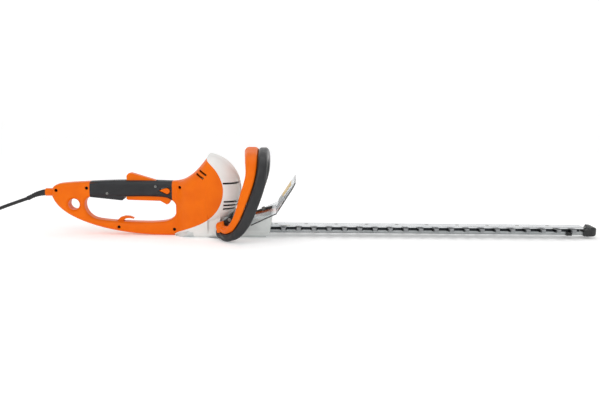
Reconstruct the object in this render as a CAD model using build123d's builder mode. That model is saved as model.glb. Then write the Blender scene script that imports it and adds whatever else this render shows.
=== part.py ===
"""Corded electric hedge trimmer with a double-sided reciprocating cutter bar.

It stands on the flat base of its gear case. +X runs along the blades to the tip,
+Z is up, and the origin is on the floor under the housing. The user's right-hand
side is -Y. All lengths are in millimetres.
"""

from build123d import *
import os
from math import atan2, cos, degrees, pi, radians, sin, sqrt, tan

os.makedirs("parts", exist_ok=True)

# ---------------------------------------------------------------- driving sizes
GAP = 0.3  # clearance between pieces that move past each other
RUNNING_FIT = 0.05  # radial clearance of a shaft or pin in its hole

# cutter bar
TOOTH_PITCH = 36.0
TOOTH_COUNT = 20
FIRST_TOOTH_X = 140.0
TOOTH_TIP_Y = 36.0
TOOTH_TIP_WIDTH = 9.0
TOOTH_ROOT_WIDTH = 18.0
STROKE = 9.0  # each blade travels this far both ways
BLADE_THICKNESS = 3.2
LOWER_BLADE_Z = 17.3
UPPER_BLADE_Z = 20.7
BLADE_HALF_WIDTH = 17.0
BLADE_TAIL_X = 66.0
BLADE_END_X = 841.0
RAIL_START_X = 98.0
RAIL_END_X = 851.0
TOP_RAIL_Z = (24.0, 28.0)
LOWER_RAIL_Z = (9.0, 17.0)
LOWER_RAIL_HALF_WIDTH = 15.0
TONGUE_END_X = 868.0
RAIL_SCREW_X = [122.0 + 2 * TOOTH_PITCH * k for k in range(10)]
RAIL_SCREW_RADIUS = 2.5
TIP_SCREW_X = 858.5
TIP_X = 885.0

# gear case and crank drive
CASE_HALF_WIDTH = 46.0
CASE_FRONT_X = 115.0
CASE_JOINT_Z = 26.6
CASE_TOP_Z = 58.0
BASE_PLATE_THICKNESS = 4.0
BASE_PLATE_HALF_WIDTH = 24.0
CRANK_X = 27.0
MOTOR_X = -18.0
GEAR_MODULE = 1.5
GEAR_TEETH = 48
PINION_TEETH = 12
GEAR_Z = (32.0, 43.0)
ECCENTRIC_RADIUS = 16.0
ROD_LENGTH = 52.0
ROD_END_X = CRANK_X + sqrt(ROD_LENGTH**2 - STROKE**2)
BASE_SCREW_X = [-90.0, -30.0, 88.0]
LOWER_ROD_Z = (12.0, 16.7)
UPPER_ROD_Z = (24.5, 29.5)
CRANK_SHAFT_RADIUS = 8.0

# motor housing, a thick disc with its axis across the tool
DISC_X = -48.0
DISC_Z = 110.0
DISC_RADIUS = 85.5
DISC_HALF_WIDTH = 54.0
DISC_ROUND = 34.0
NECK_END_X = -36.0
SHELL_WALL = 3.0
LOWER_HALF_WIDTH = 48.0

# rear handle
HANDLE_HALF_WIDTH = 19.0
HANDLE_ROUND = 11.0
HANDLE_WALL = 3.5
HANDLE_REAR_X = -408.0
GLAND_X = -425.0
GLAND_Z = 100.0
GLAND_RADIUS = 9.0
GRIP_X = (-317.0, -123.0)
GRIP_BOTTOM_Z = 80.0
CORE_Z = (94.0, 125.0)
CORE_HALF_WIDTH = 15.8
TRIGGER_PIVOT = (-118.5, 99.0)
LEVER_PIVOT = (-168.0, 121.0)
PIN_RADIUS = 2.2
GUARD_SCREW = (92.0, 62.46)
HANG_HOLE = (-356.0, 73.0)
HANG_HOLE_RADIUS = 13.6
# Each shell screw: x, z, and half the length of the boss that it clamps.
SHELL_SCREWS = [
    (-396.0, 106.5, 18.0),
    (-324.0, 112.5, 18.0),
    (-250.0, 20.0, 18.0),
    (-118.5, 15.5, 18.0),
    (-103.0, 117.0, 30.0),
]
GRIP_SCREWS = [(-276.0, 100.5), (-162.0, 117.5)]

# mains cord
CORD_DIAMETER = 8.0
BOOT_END = (-468.0, 0.0, 84.7)


def across(x):
    """The plane across the tool at x, with its own x along +Y and its y along +Z."""
    return Plane.YZ.offset(x)


def middle_box(x_range, half_width, z_range, mode=Mode.ADD):
    """A box that is symmetrical about the middle plane."""
    with Locations(((x_range[0] + x_range[1]) / 2, 0, (z_range[0] + z_range[1]) / 2)):
        Box(x_range[1] - x_range[0], 2 * half_width, z_range[1] - z_range[0], mode=mode)


# ---------------------------------------------------------------- outer forms
# The handle's outline in side view, along the top and back along the bottom.
HANDLE_TOP = [
    (HANDLE_REAR_X, 108.0),
    (-402.0, 116.0),
    (-380.0, 122.6),
    (-335.0, 126.0),
    (-270.0, 129.5),
    (-200.0, 130.7),
    (-140.0, 129.8),
    (-107.0, 131.0),
    (-90.0, 137.0),
    (-72.0, 150.0),
    (-50.0, 173.0),
]
HANDLE_BOTTOM = [
    (-125.0, 0.0),
    (-190.0, 2.0),
    (-249.0, 9.0),
    (-306.0, 22.0),
    (-350.0, 38.5),
    (-378.0, 54.5),
    (-396.0, 71.0),
    (HANDLE_REAR_X, 92.0),
]
# The hand hole between the grip and the lower bar, a closed curve in side view.
HAND_HOLE = [
    (-331.0, 76.0),
    (-327.0, 56.0),
    (-312.0, 41.5),
    (-290.0, 36.0),
    (-250.0, 32.5),
    (-200.0, 31.0),
    (-150.0, 32.5),
    (-124.0, 41.0),
    (-113.5, 60.0),
    (-118.0, 78.0),
    (-134.0, 89.0),
    (-160.0, 92.5),
    (-230.0, 92.3),
    (-300.0, 91.5),
    (-324.0, 88.0),
]
HAND_HOLE_CENTRE = (-222.0, 62.0)
HAND_HOLE_HALF = (109.0, 31.0)
# The grip's underside swells downward behind the trigger.
GRIP_SWELL = [(-318.0, 100.0), (-318.0, 91.0), (-241.0, 83.5), (-237.0, 88.0), (-237.0, 100.0)]
# Where the orange shells meet the light motor cover, from the top down to the base.
COVER_EDGE = [
    (-44.0, 200.0),
    (-37.0, 183.0),
    (-21.0, 166.0),
    (-6.0, 142.0),
    (0.5, 118.0),
    (-1.5, 95.0),
    (-12.0, 69.0),
    (-35.0, 45.0),
    (-76.0, 24.6),
    (-118.0, 5.0),
]
# Sections of the neck that widens from the handle to the disc: x, half width, bottom, top, corner.
NECK = [
    (-114.0, 18.6, 1.0, 130.0, 10.5),
    (-101.0, 31.0, 0.0, 131.5, 17.0),
    (-84.0, 44.0, 0.0, 140.5, 24.0),
    (-68.0, 50.0, 0.0, 153.5, 30.0),
    (-52.0, 53.0, 0.0, 171.0, 34.0),
    (-43.0, 54.0, 0.0, 182.5, 34.0),
    (NECK_END_X, 54.0, 0.0, 193.0, 34.0),
]


def handle_face():
    """The side view of the handle and its neck, in the middle plane."""
    with BuildSketch(Plane.XZ) as face:
        with BuildLine():
            Spline(*HANDLE_TOP)
            Polyline(HANDLE_TOP[-1], (-42.0, 110.0), (-42.0, 0.0), HANDLE_BOTTOM[0])
            Spline(*HANDLE_BOTTOM)
            Line(HANDLE_BOTTOM[-1], HANDLE_TOP[0])
        make_face()
    return face.sketch


def hand_hole_face():
    """The side view of the hand hole, in the middle plane."""
    with BuildSketch(Plane.XZ) as hole:
        with BuildLine():
            Spline(*HAND_HOLE, periodic=True)
        make_face()
    return hole.sketch


def handle_room_face():
    """The side view of the space inside the handle, one wall in from its outline and its hole."""
    wall = HANDLE_WALL
    with BuildSketch(Plane.XZ) as room:
        with BuildLine():
            Spline(*[(x + (wall if x < -370.0 else 0.0), z - wall) for x, z in HANDLE_TOP])
            top_end = (HANDLE_TOP[-1][0], HANDLE_TOP[-1][1] - wall)
            Polyline(top_end, (-45.0, 110.0), (-45.0, wall), (-125.0, wall))
            Spline(*[(x + (wall if x < -370.0 else 0.0), z + wall) for x, z in HANDLE_BOTTOM])
            rear_x = HANDLE_REAR_X + wall
            Line((rear_x, HANDLE_BOTTOM[-1][1] + wall), (rear_x, HANDLE_TOP[0][1] - wall))
        make_face()
    middle_x, middle_z = HAND_HOLE_CENTRE
    with BuildSketch(Plane.XZ) as hole:
        with BuildLine():
            grown = [
                (
                    middle_x + (x - middle_x) * (1 + wall / HAND_HOLE_HALF[0]),
                    middle_z + (z - middle_z) * (1 + wall / HAND_HOLE_HALF[1]),
                )
                for x, z in HAND_HOLE
            ]
            Spline(*grown, periodic=True)
        make_face()
    return room.sketch - hole.sketch


def disc(radius, half_width, rounding):
    """The front of the motor disc, turned about its cross axis."""
    with BuildPart() as wheel:
        with BuildSketch(Plane((DISC_X, 0, DISC_Z))) as half:
            Rectangle(radius, 2 * half_width, align=(Align.MIN, Align.CENTER))
            fillet(half.vertices().group_by(Axis.X)[-1], rounding)
        revolve(axis=Axis((DISC_X, 0, DISC_Z), (0, 1, 0)))
        split(bisect_by=across(NECK_END_X), keep=Keep.TOP)
    return wheel.part


def neck(inset):
    """The neck as a loft, with its surface set back by an amount."""
    with BuildPart() as throat:
        for x, half_width, low, high, corner in NECK:
            with BuildSketch(across(x)):
                with Locations((0, (low + high) / 2)):
                    RectangleRounded(2 * (half_width - inset), high - low - 2 * inset, corner - inset)
        loft()
    return throat.part


def lower_block(inset):
    """The straight-sided foot of the housing, between the disc and the gear case."""
    front = -7.0 - inset
    outline = [(-70.0, inset), (front, inset), (front, 70.0), (-50.0, 100.0), (-70.0, 100.0)]
    with BuildPart() as block:
        with BuildSketch(Plane.XZ):
            Polygon(*outline, align=None)
        extrude(amount=LOWER_HALF_WIDTH - inset, both=True)
        fillet(block.edges().filter_by(Axis.X).group_by(Axis.Z)[0], 20.0 - inset)
    return block.part


EAR_SIDE = [
    (-151.5, 108.0),
    (-143.0, 112.3),
    (-135.0, 114.0),
    (-129.5, 111.5),
    (-128.0, 107.0),
    (-130.0, 102.0),
    (-135.0, 100.0),
    (-143.0, 104.0),
]


def ear_face(room=0.0):
    """The teardrop ear that the trigger shows on each cheek of the grip, with room around it."""
    with BuildSketch(Plane.XZ) as ear:
        Polygon(*EAR_SIDE, align=None)
        if room:
            offset(amount=room)
    return ear.sketch


def half(part, keep):
    """The main solid of one half of a part, cut along the middle plane."""
    side = split(part, bisect_by=Plane.XZ, keep=keep, mode=Mode.PRIVATE)
    return side.solids().sort_by(SortBy.VOLUME)[-1]


def rims(plate):
    """The edges around the two flat sides of a plate."""
    by_side = plate.edges().group_by(Axis.Y)
    return by_side[0] + by_side[-1]


# The handle is a rounded plate with a hand hole whose rims are rounded too.
with BuildPart() as holed_block:
    middle_box((-440.0, -20.0), HANDLE_HALF_WIDTH, (-20.0, 200.0))
    extrude(hand_hole_face(), amount=HANDLE_HALF_WIDTH, both=True, mode=Mode.SUBTRACT)
    sides = (holed_block.faces().sort_by(Axis.Y)[0], holed_block.faces().sort_by(Axis.Y)[-1])
    fillet([edge for side in sides for edge in side.inner_wires()[0].edges()], 9.0)

with BuildPart() as handle_plate:
    extrude(handle_face(), amount=HANDLE_HALF_WIDTH, both=True)
    fillet(rims(handle_plate), HANDLE_ROUND)
    add(holed_block.part, mode=Mode.INTERSECT)

with BuildPart() as body_form:
    add(disc(DISC_RADIUS, DISC_HALF_WIDTH, DISC_ROUND))
    add(lower_block(0.0))
    add(neck(0.0))
    add(handle_plate.part)
    with BuildSketch(Plane.YZ.offset(GLAND_X)):
        with Locations((0, GLAND_Z)):
            Circle(GLAND_RADIUS)
    extrude(amount=HANDLE_REAR_X - GLAND_X + 2.0)

with BuildPart() as body_room:
    add(disc(DISC_RADIUS - SHELL_WALL, DISC_HALF_WIDTH - SHELL_WALL, DISC_ROUND - SHELL_WALL))
    add(lower_block(SHELL_WALL))
    add(neck(SHELL_WALL))
    extrude(handle_room_face(), amount=HANDLE_HALF_WIDTH - HANDLE_WALL, both=True)


# ---------------------------------------------------------------- gear case
CASE_SIDE = [
    (-116.0, 0.0),
    (80.0, 0.0),
    (107.0, 7.0),
    (CASE_FRONT_X, 57.0),
    (70.0, 49.0),
    (62.0, 50.0),
    (56.0, CASE_TOP_Z),
    (24.0, CASE_TOP_Z),
    (22.0, CASE_JOINT_Z),
    (-72.0, CASE_JOINT_Z),
]

CASE_PLAN = [
    (-116.0, 19.0),
    (-101.0, 31.0),
    (-84.0, 43.0),
    (-66.0, CASE_HALF_WIDTH),
    (CASE_FRONT_X, CASE_HALF_WIDTH),
]

with BuildPart() as case_form:
    with BuildSketch(Plane.XZ):
        Polygon(*CASE_SIDE, align=None)
    extrude(amount=CASE_HALF_WIDTH, both=True)
    fillet(case_form.edges().filter_by(Axis.X).group_by(Axis.Z)[0], 20.0)
    with BuildSketch(Plane.XY):
        Polygon(*CASE_PLAN, *[(x, -y) for x, y in reversed(CASE_PLAN)], align=None)
    extrude(amount=80.0, mode=Mode.INTERSECT)
    # front corners of the nose
    fillet(case_form.edges().group_by(Axis.X)[-1].filter_by(Axis.Y), 3.0)
    with BuildSketch(Plane.XY.offset(CASE_JOINT_Z - 1.0)):
        with Locations((-14.0, 0)):
            Rectangle(76.0, 80.0)
    extrude(amount=50.0 - CASE_JOINT_Z + 1.0)
    with BuildSketch(Plane.XY.offset(CASE_JOINT_Z)):
        with Locations((MOTOR_X, 0)):
            Circle(15.0)
        with Locations((CRANK_X, 0)):
            Circle(16.0)
    extrude(amount=CASE_TOP_Z + 1.0 - CASE_JOINT_Z)

with BuildPart() as gear_case:
    add(case_form.part)
    # recess for the base plate, room for the rods, and room for the gears
    middle_box((-100.3, 100.3), BASE_PLATE_HALF_WIDTH + GAP, (-1.0, BASE_PLATE_THICKNESS), mode=Mode.SUBTRACT)
    middle_box((-14.0, 97.0), 31.0, (BASE_PLATE_THICKNESS, 31.0), mode=Mode.SUBTRACT)
    middle_box((-60.0, -20.0), 38.0, (10.0, CASE_JOINT_Z - 3.0), mode=Mode.SUBTRACT)
    middle_box((-98.0, -20.0), 24.0, (BASE_PLATE_THICKNESS, CASE_JOINT_Z - 3.0), mode=Mode.SUBTRACT)
    with BuildSketch(Plane.XY.offset(31.0)):
        with Locations((CRANK_X, 0)):
            Circle(38.0)
        with Locations((MOTOR_X, 0)):
            Circle(12.0)
    extrude(amount=14.5, mode=Mode.SUBTRACT)
    # seats of the crank's and the motor's bearings, and the holes for their shafts
    with BuildSketch(Plane.XY.offset(45.5)):
        with Locations((CRANK_X, 0)):
            Circle(13.0)
        with Locations((MOTOR_X, 0)):
            Circle(7.0)
    extrude(amount=9.5, mode=Mode.SUBTRACT)
    with BuildSketch(Plane.XY.offset(50.0)):
        with Locations((MOTOR_X, 0)):
            Circle(11.0)
    extrude(amount=10.0, mode=Mode.SUBTRACT)
    # the slot in the front wall for the blades and their two rails
    blade_slot_z = (LOWER_BLADE_Z - GAP, TOP_RAIL_Z[1])
    middle_box((96.0, 120.0), BLADE_HALF_WIDTH + GAP, blade_slot_z, mode=Mode.SUBTRACT)
    middle_box((96.0, 120.0), LOWER_RAIL_HALF_WIDTH, LOWER_RAIL_Z, mode=Mode.SUBTRACT)
gear_case.part.label = "gear_case"
export_step(gear_case.part, "parts/gear_case.step")
# ---------------------------------------------------------------- housing shells
with BuildPart() as cover_region:
    with BuildSketch(Plane.XZ):
        with BuildLine():
            Spline(*COVER_EDGE)
            Polyline(COVER_EDGE[-1], (-118.0, -10.0), (60.0, -10.0), (60.0, 210.0), COVER_EDGE[0])
        make_face()
    extrude(amount=70.0, both=True)

with BuildPart() as motor_cover:
    add(body_form.part)
    add(cover_region.part, mode=Mode.INTERSECT)
    add(body_room.part, mode=Mode.SUBTRACT)
    add(case_form.part, mode=Mode.SUBTRACT)
    # cooling slots on both cheeks, one high and three low
    for z, length in ((130.7, 40.0), (88.0, 36.0), (79.5, 38.0), (71.0, 40.0)):
        for side in (-1, 1):
            with Locations((20.0, side * 36.0, z)):
                Box(length, 52.0, 4.2, mode=Mode.SUBTRACT)
    add(motor_cover.part.solids().sort_by(SortBy.VOLUME)[-1], mode=Mode.REPLACE)
motor_cover.part.label = "motor_cover"
export_step(motor_cover.part, "parts/motor_cover.step")

with BuildPart() as grip_region:
    middle_box(GRIP_X, 30.0, (GRIP_BOTTOM_Z, 140.0))

with BuildPart() as handle_core:
    middle_box((GRIP_X[0] - 8.0, GRIP_X[1] + 8.0), CORE_HALF_WIDTH, CORE_Z)
    fillet(handle_core.edges().filter_by(Axis.X), 6.0)
    middle_box((GRIP_X[0] - 8.5, GRIP_X[1] + 8.5), CORE_HALF_WIDTH - 2.5, (96.5, 122.5), mode=Mode.SUBTRACT)

# Bosses for the screws that hold the two shells together.
with BuildPart() as bosses:
    for x, z, boss in SHELL_SCREWS:
        with BuildSketch(Plane.XZ):
            with Locations((x, z)):
                Circle(5.5)
        extrude(amount=boss, both=True)
    add(body_form.part, mode=Mode.INTERSECT)

with BuildPart() as shells:
    add(body_form.part)
    add(cover_region.part, mode=Mode.SUBTRACT)
    add(grip_region.part, mode=Mode.SUBTRACT)
    add(body_room.part, mode=Mode.SUBTRACT)
    add(case_form.part, mode=Mode.SUBTRACT)
    add(handle_core.part)
    add(bosses.part)
    # hang-up hole with its lip, opened out on the near side
    with BuildSketch(Plane.XZ):
        with Locations(HANG_HOLE):
            Circle(HANG_HOLE_RADIUS + 4.0)
    extrude(amount=HANDLE_HALF_WIDTH - 3.0, both=True)
    with BuildSketch(Plane.XZ):
        with Locations(HANG_HOLE):
            Circle(HANG_HOLE_RADIUS)
    extrude(amount=30.0, both=True, mode=Mode.SUBTRACT)
    for side in (-1, 1):
        with BuildSketch(Plane.XZ.offset(side * (HANDLE_HALF_WIDTH + 0.5))):
            with Locations(HANG_HOLE):
                Circle(HANG_HOLE_RADIUS + 4.5)
        with BuildSketch(Plane.XZ.offset(side * (HANDLE_HALF_WIDTH - 5.0))):
            with Locations(HANG_HOLE):
                Circle(HANG_HOLE_RADIUS)
        loft(mode=Mode.SUBTRACT)
    # cord passage through the gland
    with BuildSketch(Plane.YZ.offset(GLAND_X - 1.0)):
        with Locations((0, GLAND_Z)):
            Circle(5.0)
    extrude(amount=30.0, mode=Mode.SUBTRACT)
    # openings for the trigger below and the lockout lever above
    middle_box((-236.0, -125.0), 12.4, (60.0, 98.0), mode=Mode.SUBTRACT)
    middle_box((-234.5, -160.0), 8.4, (112.0, 140.0), mode=Mode.SUBTRACT)
    extrude(ear_face(2.0), amount=30.0, both=True, mode=Mode.SUBTRACT)
    middle_box((-126.0, -111.0), 7.0, (93.5, 106.0), mode=Mode.SUBTRACT)
    for pivot, half_length in ((TRIGGER_PIVOT, 17.6), (LEVER_PIVOT, 13.1)):
        with BuildSketch(Plane.XZ):
            with Locations(pivot):
                Circle(PIN_RADIUS)
        extrude(amount=half_length, both=True, mode=Mode.SUBTRACT)
    # screw recesses on the right and screw holes
    for x, z, boss in SHELL_SCREWS:
        with BuildSketch(Plane.XZ.offset(11.0)):
            with Locations((x, z)):
                Circle(4.0)
        extrude(amount=60.0, mode=Mode.SUBTRACT)
        with BuildSketch(Plane.XZ):
            with Locations((x, z)):
                Circle(1.8)
        extrude(amount=12.0, both=True, mode=Mode.SUBTRACT)
    # two slanted cooling slots on each cheek
    for x, z in ((-46.0, 154.5), (-53.0, 146.5)):
        for side in (-1, 1):
            with Locations(Location((x, side * 52.0, z), (0, 33.0, 0))):
                Box(20.0, 30.0, 4.4, mode=Mode.SUBTRACT)
    # shallow drain slots along the rim below the hand hole
    for x, z, length, slope in ((-281.0, 34.0, 38.0, 8.4), (-225.5, 29.0, 23.0, 1.5)):
        for side in (-1, 1):
            with Locations(Location((x, side * HANDLE_HALF_WIDTH, z), (0, slope, 0))):
                Box(length, 4.0, 2.4, mode=Mode.SUBTRACT)
    # slot for the foot of the cable hook
    middle_box((-258.0, -240.0), 5.1, (24.0, 40.0), mode=Mode.SUBTRACT)

with BuildPart() as handle_shell_right:
    add(half(shells.part, Keep.TOP))
handle_shell_right.part.label = "handle_shell_right"
export_step(handle_shell_right.part, "parts/handle_shell_right.step")

with BuildPart() as handle_shell_left:
    add(half(shells.part, Keep.BOTTOM))
handle_shell_left.part.label = "handle_shell_left"
export_step(handle_shell_left.part, "parts/handle_shell_left.step")

with BuildPart() as grip:
    add(handle_plate.part)
    with BuildSketch(Plane.XZ):
        Polygon(*GRIP_SWELL, align=None)
    extrude(amount=HANDLE_HALF_WIDTH - 3.0, both=True)
    add(grip_region.part, mode=Mode.INTERSECT)
    middle_box((-330.0, -110.0), CORE_HALF_WIDTH, CORE_Z, mode=Mode.SUBTRACT)
    middle_box((-236.0, -120.0), 12.4, (60.0, 98.0), mode=Mode.SUBTRACT)
    middle_box((-234.5, -160.0), 8.4, (112.0, 140.0), mode=Mode.SUBTRACT)
    extrude(ear_face(2.0), amount=30.0, both=True, mode=Mode.SUBTRACT)
    for x, z in GRIP_SCREWS:
        with BuildSketch(Plane.XZ.offset(17.5)):
            with Locations((x, z)):
                Circle(3.0)
        extrude(amount=5.0, mode=Mode.SUBTRACT)

with BuildPart() as grip_cover_right:
    add(half(grip.part, Keep.TOP))
grip_cover_right.part.label = "grip_cover_right"
export_step(grip_cover_right.part, "parts/grip_cover_right.step")

with BuildPart() as grip_cover_left:
    add(half(grip.part, Keep.BOTTOM))
grip_cover_left.part.label = "grip_cover_left"
export_step(grip_cover_left.part, "parts/grip_cover_left.step")

# ---------------------------------------------------------------- fasteners of the housing
with BuildPart() as shell_screws:
    for x, z, boss in SHELL_SCREWS:
        with BuildSketch(Plane.XZ.offset(11.0)):
            with Locations((x, z)):
                Circle(3.6)
                RegularPolygon(1.6, 6, mode=Mode.SUBTRACT)
        extrude(amount=2.5)
        with BuildSketch(Plane.XZ.offset(-10.0)):
            with Locations((x, z)):
                Circle(1.75)
        extrude(amount=21.0)
shell_screws.part.label = "shell_screws"
export_step(shell_screws.part, "parts/shell_screws.step")

with BuildPart() as grip_screws:
    for x, z in GRIP_SCREWS:
        with BuildSketch(Plane.XZ.offset(17.5)):
            with Locations((x, z)):
                Circle(2.8)
                RegularPolygon(1.3, 6, mode=Mode.SUBTRACT)
        extrude(amount=1.3)
grip_screws.part.label = "grip_screws"
export_step(grip_screws.part, "parts/grip_screws.step")

with BuildPart() as base_plate:
    middle_box((-100.0, 99.0), BASE_PLATE_HALF_WIDTH, (0.0, BASE_PLATE_THICKNESS))
    fillet(base_plate.edges().filter_by(Axis.Z), 4.0)
    # boss that holds the crank's lower bearing
    with BuildSketch(Plane.XY.offset(BASE_PLATE_THICKNESS)):
        with Locations((CRANK_X, 0)):
            Circle(17.0)
            Circle(13.0, mode=Mode.SUBTRACT)
    extrude(amount=6.5)
    for x in BASE_SCREW_X:
        with BuildSketch(Plane.XY.offset(-1.0)):
            with Locations((x, 18.0), (x, -18.0)):
                Circle(3.6)
        extrude(amount=3.0, mode=Mode.SUBTRACT)
        with BuildSketch(Plane.XY.offset(-1.0)):
            with Locations((x, 18.0), (x, -18.0)):
                Circle(1.8)
        extrude(amount=6.0, mode=Mode.SUBTRACT)
base_plate.part.label = "base_plate"
export_step(base_plate.part, "parts/base_plate.step")

with BuildPart() as base_screws:
    for x in BASE_SCREW_X:
        with BuildSketch(Plane.XY.offset(0.4)):
            with Locations((x, 18.0), (x, -18.0)):
                Circle(3.4)
                RegularPolygon(1.5, 6, mode=Mode.SUBTRACT)
        extrude(amount=1.6)
        with BuildSketch(Plane.XY.offset(2.0)):
            with Locations((x, 18.0), (x, -18.0)):
                Circle(1.75)
        extrude(amount=2.0)
base_screws.part.label = "base_screws"
export_step(base_screws.part, "parts/base_screws.step")

# ---------------------------------------------------------------- cutter bar
def blade_points(tail_half_width):
    """The outline of a blade: a straight spine with slanted teeth along both sides."""
    near = [(BLADE_TAIL_X, -tail_half_width), (RAIL_START_X + 8.0, -BLADE_HALF_WIDTH)]
    for k in range(TOOTH_COUNT):
        x = FIRST_TOOTH_X + k * TOOTH_PITCH
        near += [
            (x - TOOTH_ROOT_WIDTH / 2, -BLADE_HALF_WIDTH),
            (x - TOOTH_TIP_WIDTH / 2, -TOOTH_TIP_Y),
            (x + TOOTH_TIP_WIDTH / 2, -TOOTH_TIP_Y),
            (x + TOOTH_ROOT_WIDTH / 2, -BLADE_HALF_WIDTH),
        ]
    near.append((BLADE_END_X, -BLADE_HALF_WIDTH))
    return near + [(x, -y) for x, y in reversed(near)]


def blade(z):
    """One toothed blade with the slots that let it slide past the rail screws."""
    with BuildPart() as plate:
        with BuildSketch(Plane.XY.offset(z)):
            Polygon(*blade_points(12.0), align=None)
            with Locations(*[(x, 0) for x in RAIL_SCREW_X]):
                slot_radius = RAIL_SCREW_RADIUS + GAP
                SlotOverall(2 * (slot_radius + STROKE), 2 * slot_radius, mode=Mode.SUBTRACT)
            with Locations((ROD_END_X, 0)):
                Circle(6.0, mode=Mode.SUBTRACT)
        extrude(amount=BLADE_THICKNESS)
    return plate.part


with BuildPart() as upper_blade:
    add(blade(UPPER_BLADE_Z))
upper_blade.part.label = "upper_blade"
export_step(upper_blade.part, "parts/upper_blade.step")

with BuildPart() as lower_blade:
    add(blade(LOWER_BLADE_Z))
lower_blade.part.label = "lower_blade"
export_step(lower_blade.part, "parts/lower_blade.step")

with BuildPart() as top_rail:
    middle_box((RAIL_START_X, RAIL_END_X), BLADE_HALF_WIDTH, TOP_RAIL_Z)
    chamfer(top_rail.edges().filter_by(Axis.X).group_by(Axis.Z)[-1], 1.6)
    for x in RAIL_SCREW_X:
        with Locations((x, 0, TOP_RAIL_Z[1])):
            CounterSinkHole(RAIL_SCREW_RADIUS, 4.9, counter_sink_angle=90)
top_rail.part.label = "top_rail"
export_step(top_rail.part, "parts/top_rail.step")

with BuildPart() as lower_rail:
    middle_box((RAIL_START_X, TONGUE_END_X), LOWER_RAIL_HALF_WIDTH, LOWER_RAIL_Z)
    chamfer(lower_rail.edges().filter_by(Axis.X).group_by(Axis.Z)[0], 2.0)
    for x in RAIL_SCREW_X:
        with BuildSketch(Plane.XY.offset(LOWER_RAIL_Z[0])):
            with Locations((x, 0)):
                RegularPolygon(4.7, 6)
        extrude(amount=4.5, mode=Mode.SUBTRACT)
        with BuildSketch(Plane.XY.offset(LOWER_RAIL_Z[0])):
            with Locations((x, 0)):
                Circle(RAIL_SCREW_RADIUS)
        extrude(amount=9.0, mode=Mode.SUBTRACT)
    with BuildSketch(Plane.XY.offset(LOWER_RAIL_Z[0] - 1.0)):
        with Locations((TIP_SCREW_X, 0)):
            Circle(2.6)
    extrude(amount=10.0, mode=Mode.SUBTRACT)
lower_rail.part.label = "lower_rail"
export_step(lower_rail.part, "parts/lower_rail.step")

with BuildPart() as rail_screws:
    for x in RAIL_SCREW_X:
        with BuildSketch(Plane.XY.offset(TOP_RAIL_Z[1])):
            with Locations((x, 0)):
                Circle(4.9)
        with BuildSketch(Plane.XY.offset(TOP_RAIL_Z[1] - 2.4)):
            with Locations((x, 0)):
                Circle(RAIL_SCREW_RADIUS)
        loft()
        with BuildSketch(Plane.XY.offset(LOWER_RAIL_Z[0] + 0.5)):
            with Locations((x, 0)):
                Circle(RAIL_SCREW_RADIUS)
        extrude(amount=TOP_RAIL_Z[1] - 2.4 - LOWER_RAIL_Z[0] - 0.5)
        with BuildSketch(Plane.XY.offset(TOP_RAIL_Z[1] - 1.3)):
            with Locations((x, 0)):
                RegularPolygon(2.0, 6)
        extrude(amount=2.0, mode=Mode.SUBTRACT)
rail_screws.part.label = "rail_screws"
export_step(rail_screws.part, "parts/rail_screws.step")

with BuildPart() as rail_nuts:
    for x in RAIL_SCREW_X:
        with BuildSketch(Plane.XY.offset(LOWER_RAIL_Z[0] + 0.3)):
            with Locations((x, 0)):
                RegularPolygon(4.6, 6)
                Circle(RAIL_SCREW_RADIUS, mode=Mode.SUBTRACT)
        extrude(amount=4.0)
rail_nuts.part.label = "rail_nuts"
export_step(rail_nuts.part, "parts/rail_nuts.step")

# Small block under the last teeth that the blades rest on when the tool is laid down.
with BuildPart() as rest_block:
    middle_box((811.0, 823.0), 22.0, (8.0, LOWER_RAIL_Z[1]))
    fillet(rest_block.edges().filter_by(Axis.X).group_by(Axis.Z)[0], 3.0)
    add(lower_rail.part, mode=Mode.SUBTRACT)
    middle_box((800.0, 830.0), LOWER_RAIL_HALF_WIDTH, (8.9, 17.1), mode=Mode.SUBTRACT)
rest_block.part.label = "rest_block"
export_step(rest_block.part, "parts/rest_block.step")

TIP_SIDE = [(852.0, 7.4), (852.0, 22.0), (865.0, 22.5), (868.0, 28.7), (875.0, 28.2)]
TIP_NOSE = [(875.0, 28.2), (TIP_X, 18.0), (877.0, 7.0)]
with BuildPart() as tip_guard:
    with BuildSketch(Plane.XZ):
        with BuildLine():
            Polyline(*TIP_SIDE)
            ThreePointArc(*TIP_NOSE)
            Line(TIP_NOSE[-1], (860.0, 6.4))
            Line((860.0, 6.4), TIP_SIDE[0])
        make_face()
    extrude(amount=21.0, both=True)
    with BuildSketch(Plane.XY):
        with Locations((840.0, 0)):
            RectangleRounded(90.0, 42.0, 16.0)
    extrude(amount=40.0, mode=Mode.INTERSECT)
    tongue_room_z = (LOWER_RAIL_Z[0] - 0.1, LOWER_RAIL_Z[1] + 0.1)
    middle_box((840.0, TONGUE_END_X + 0.2), LOWER_RAIL_HALF_WIDTH + 0.2, tongue_room_z, mode=Mode.SUBTRACT)
    middle_box((840.0, 851.6), BLADE_HALF_WIDTH + 1.0, (17.0, 30.0), mode=Mode.SUBTRACT)
    with BuildSketch(Plane.XY):
        with Locations((TIP_SCREW_X, 0)):
            Circle(2.6)
    extrude(amount=40.0, mode=Mode.SUBTRACT)
tip_guard.part.label = "tip_guard"
export_step(tip_guard.part, "parts/tip_guard.step")

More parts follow.
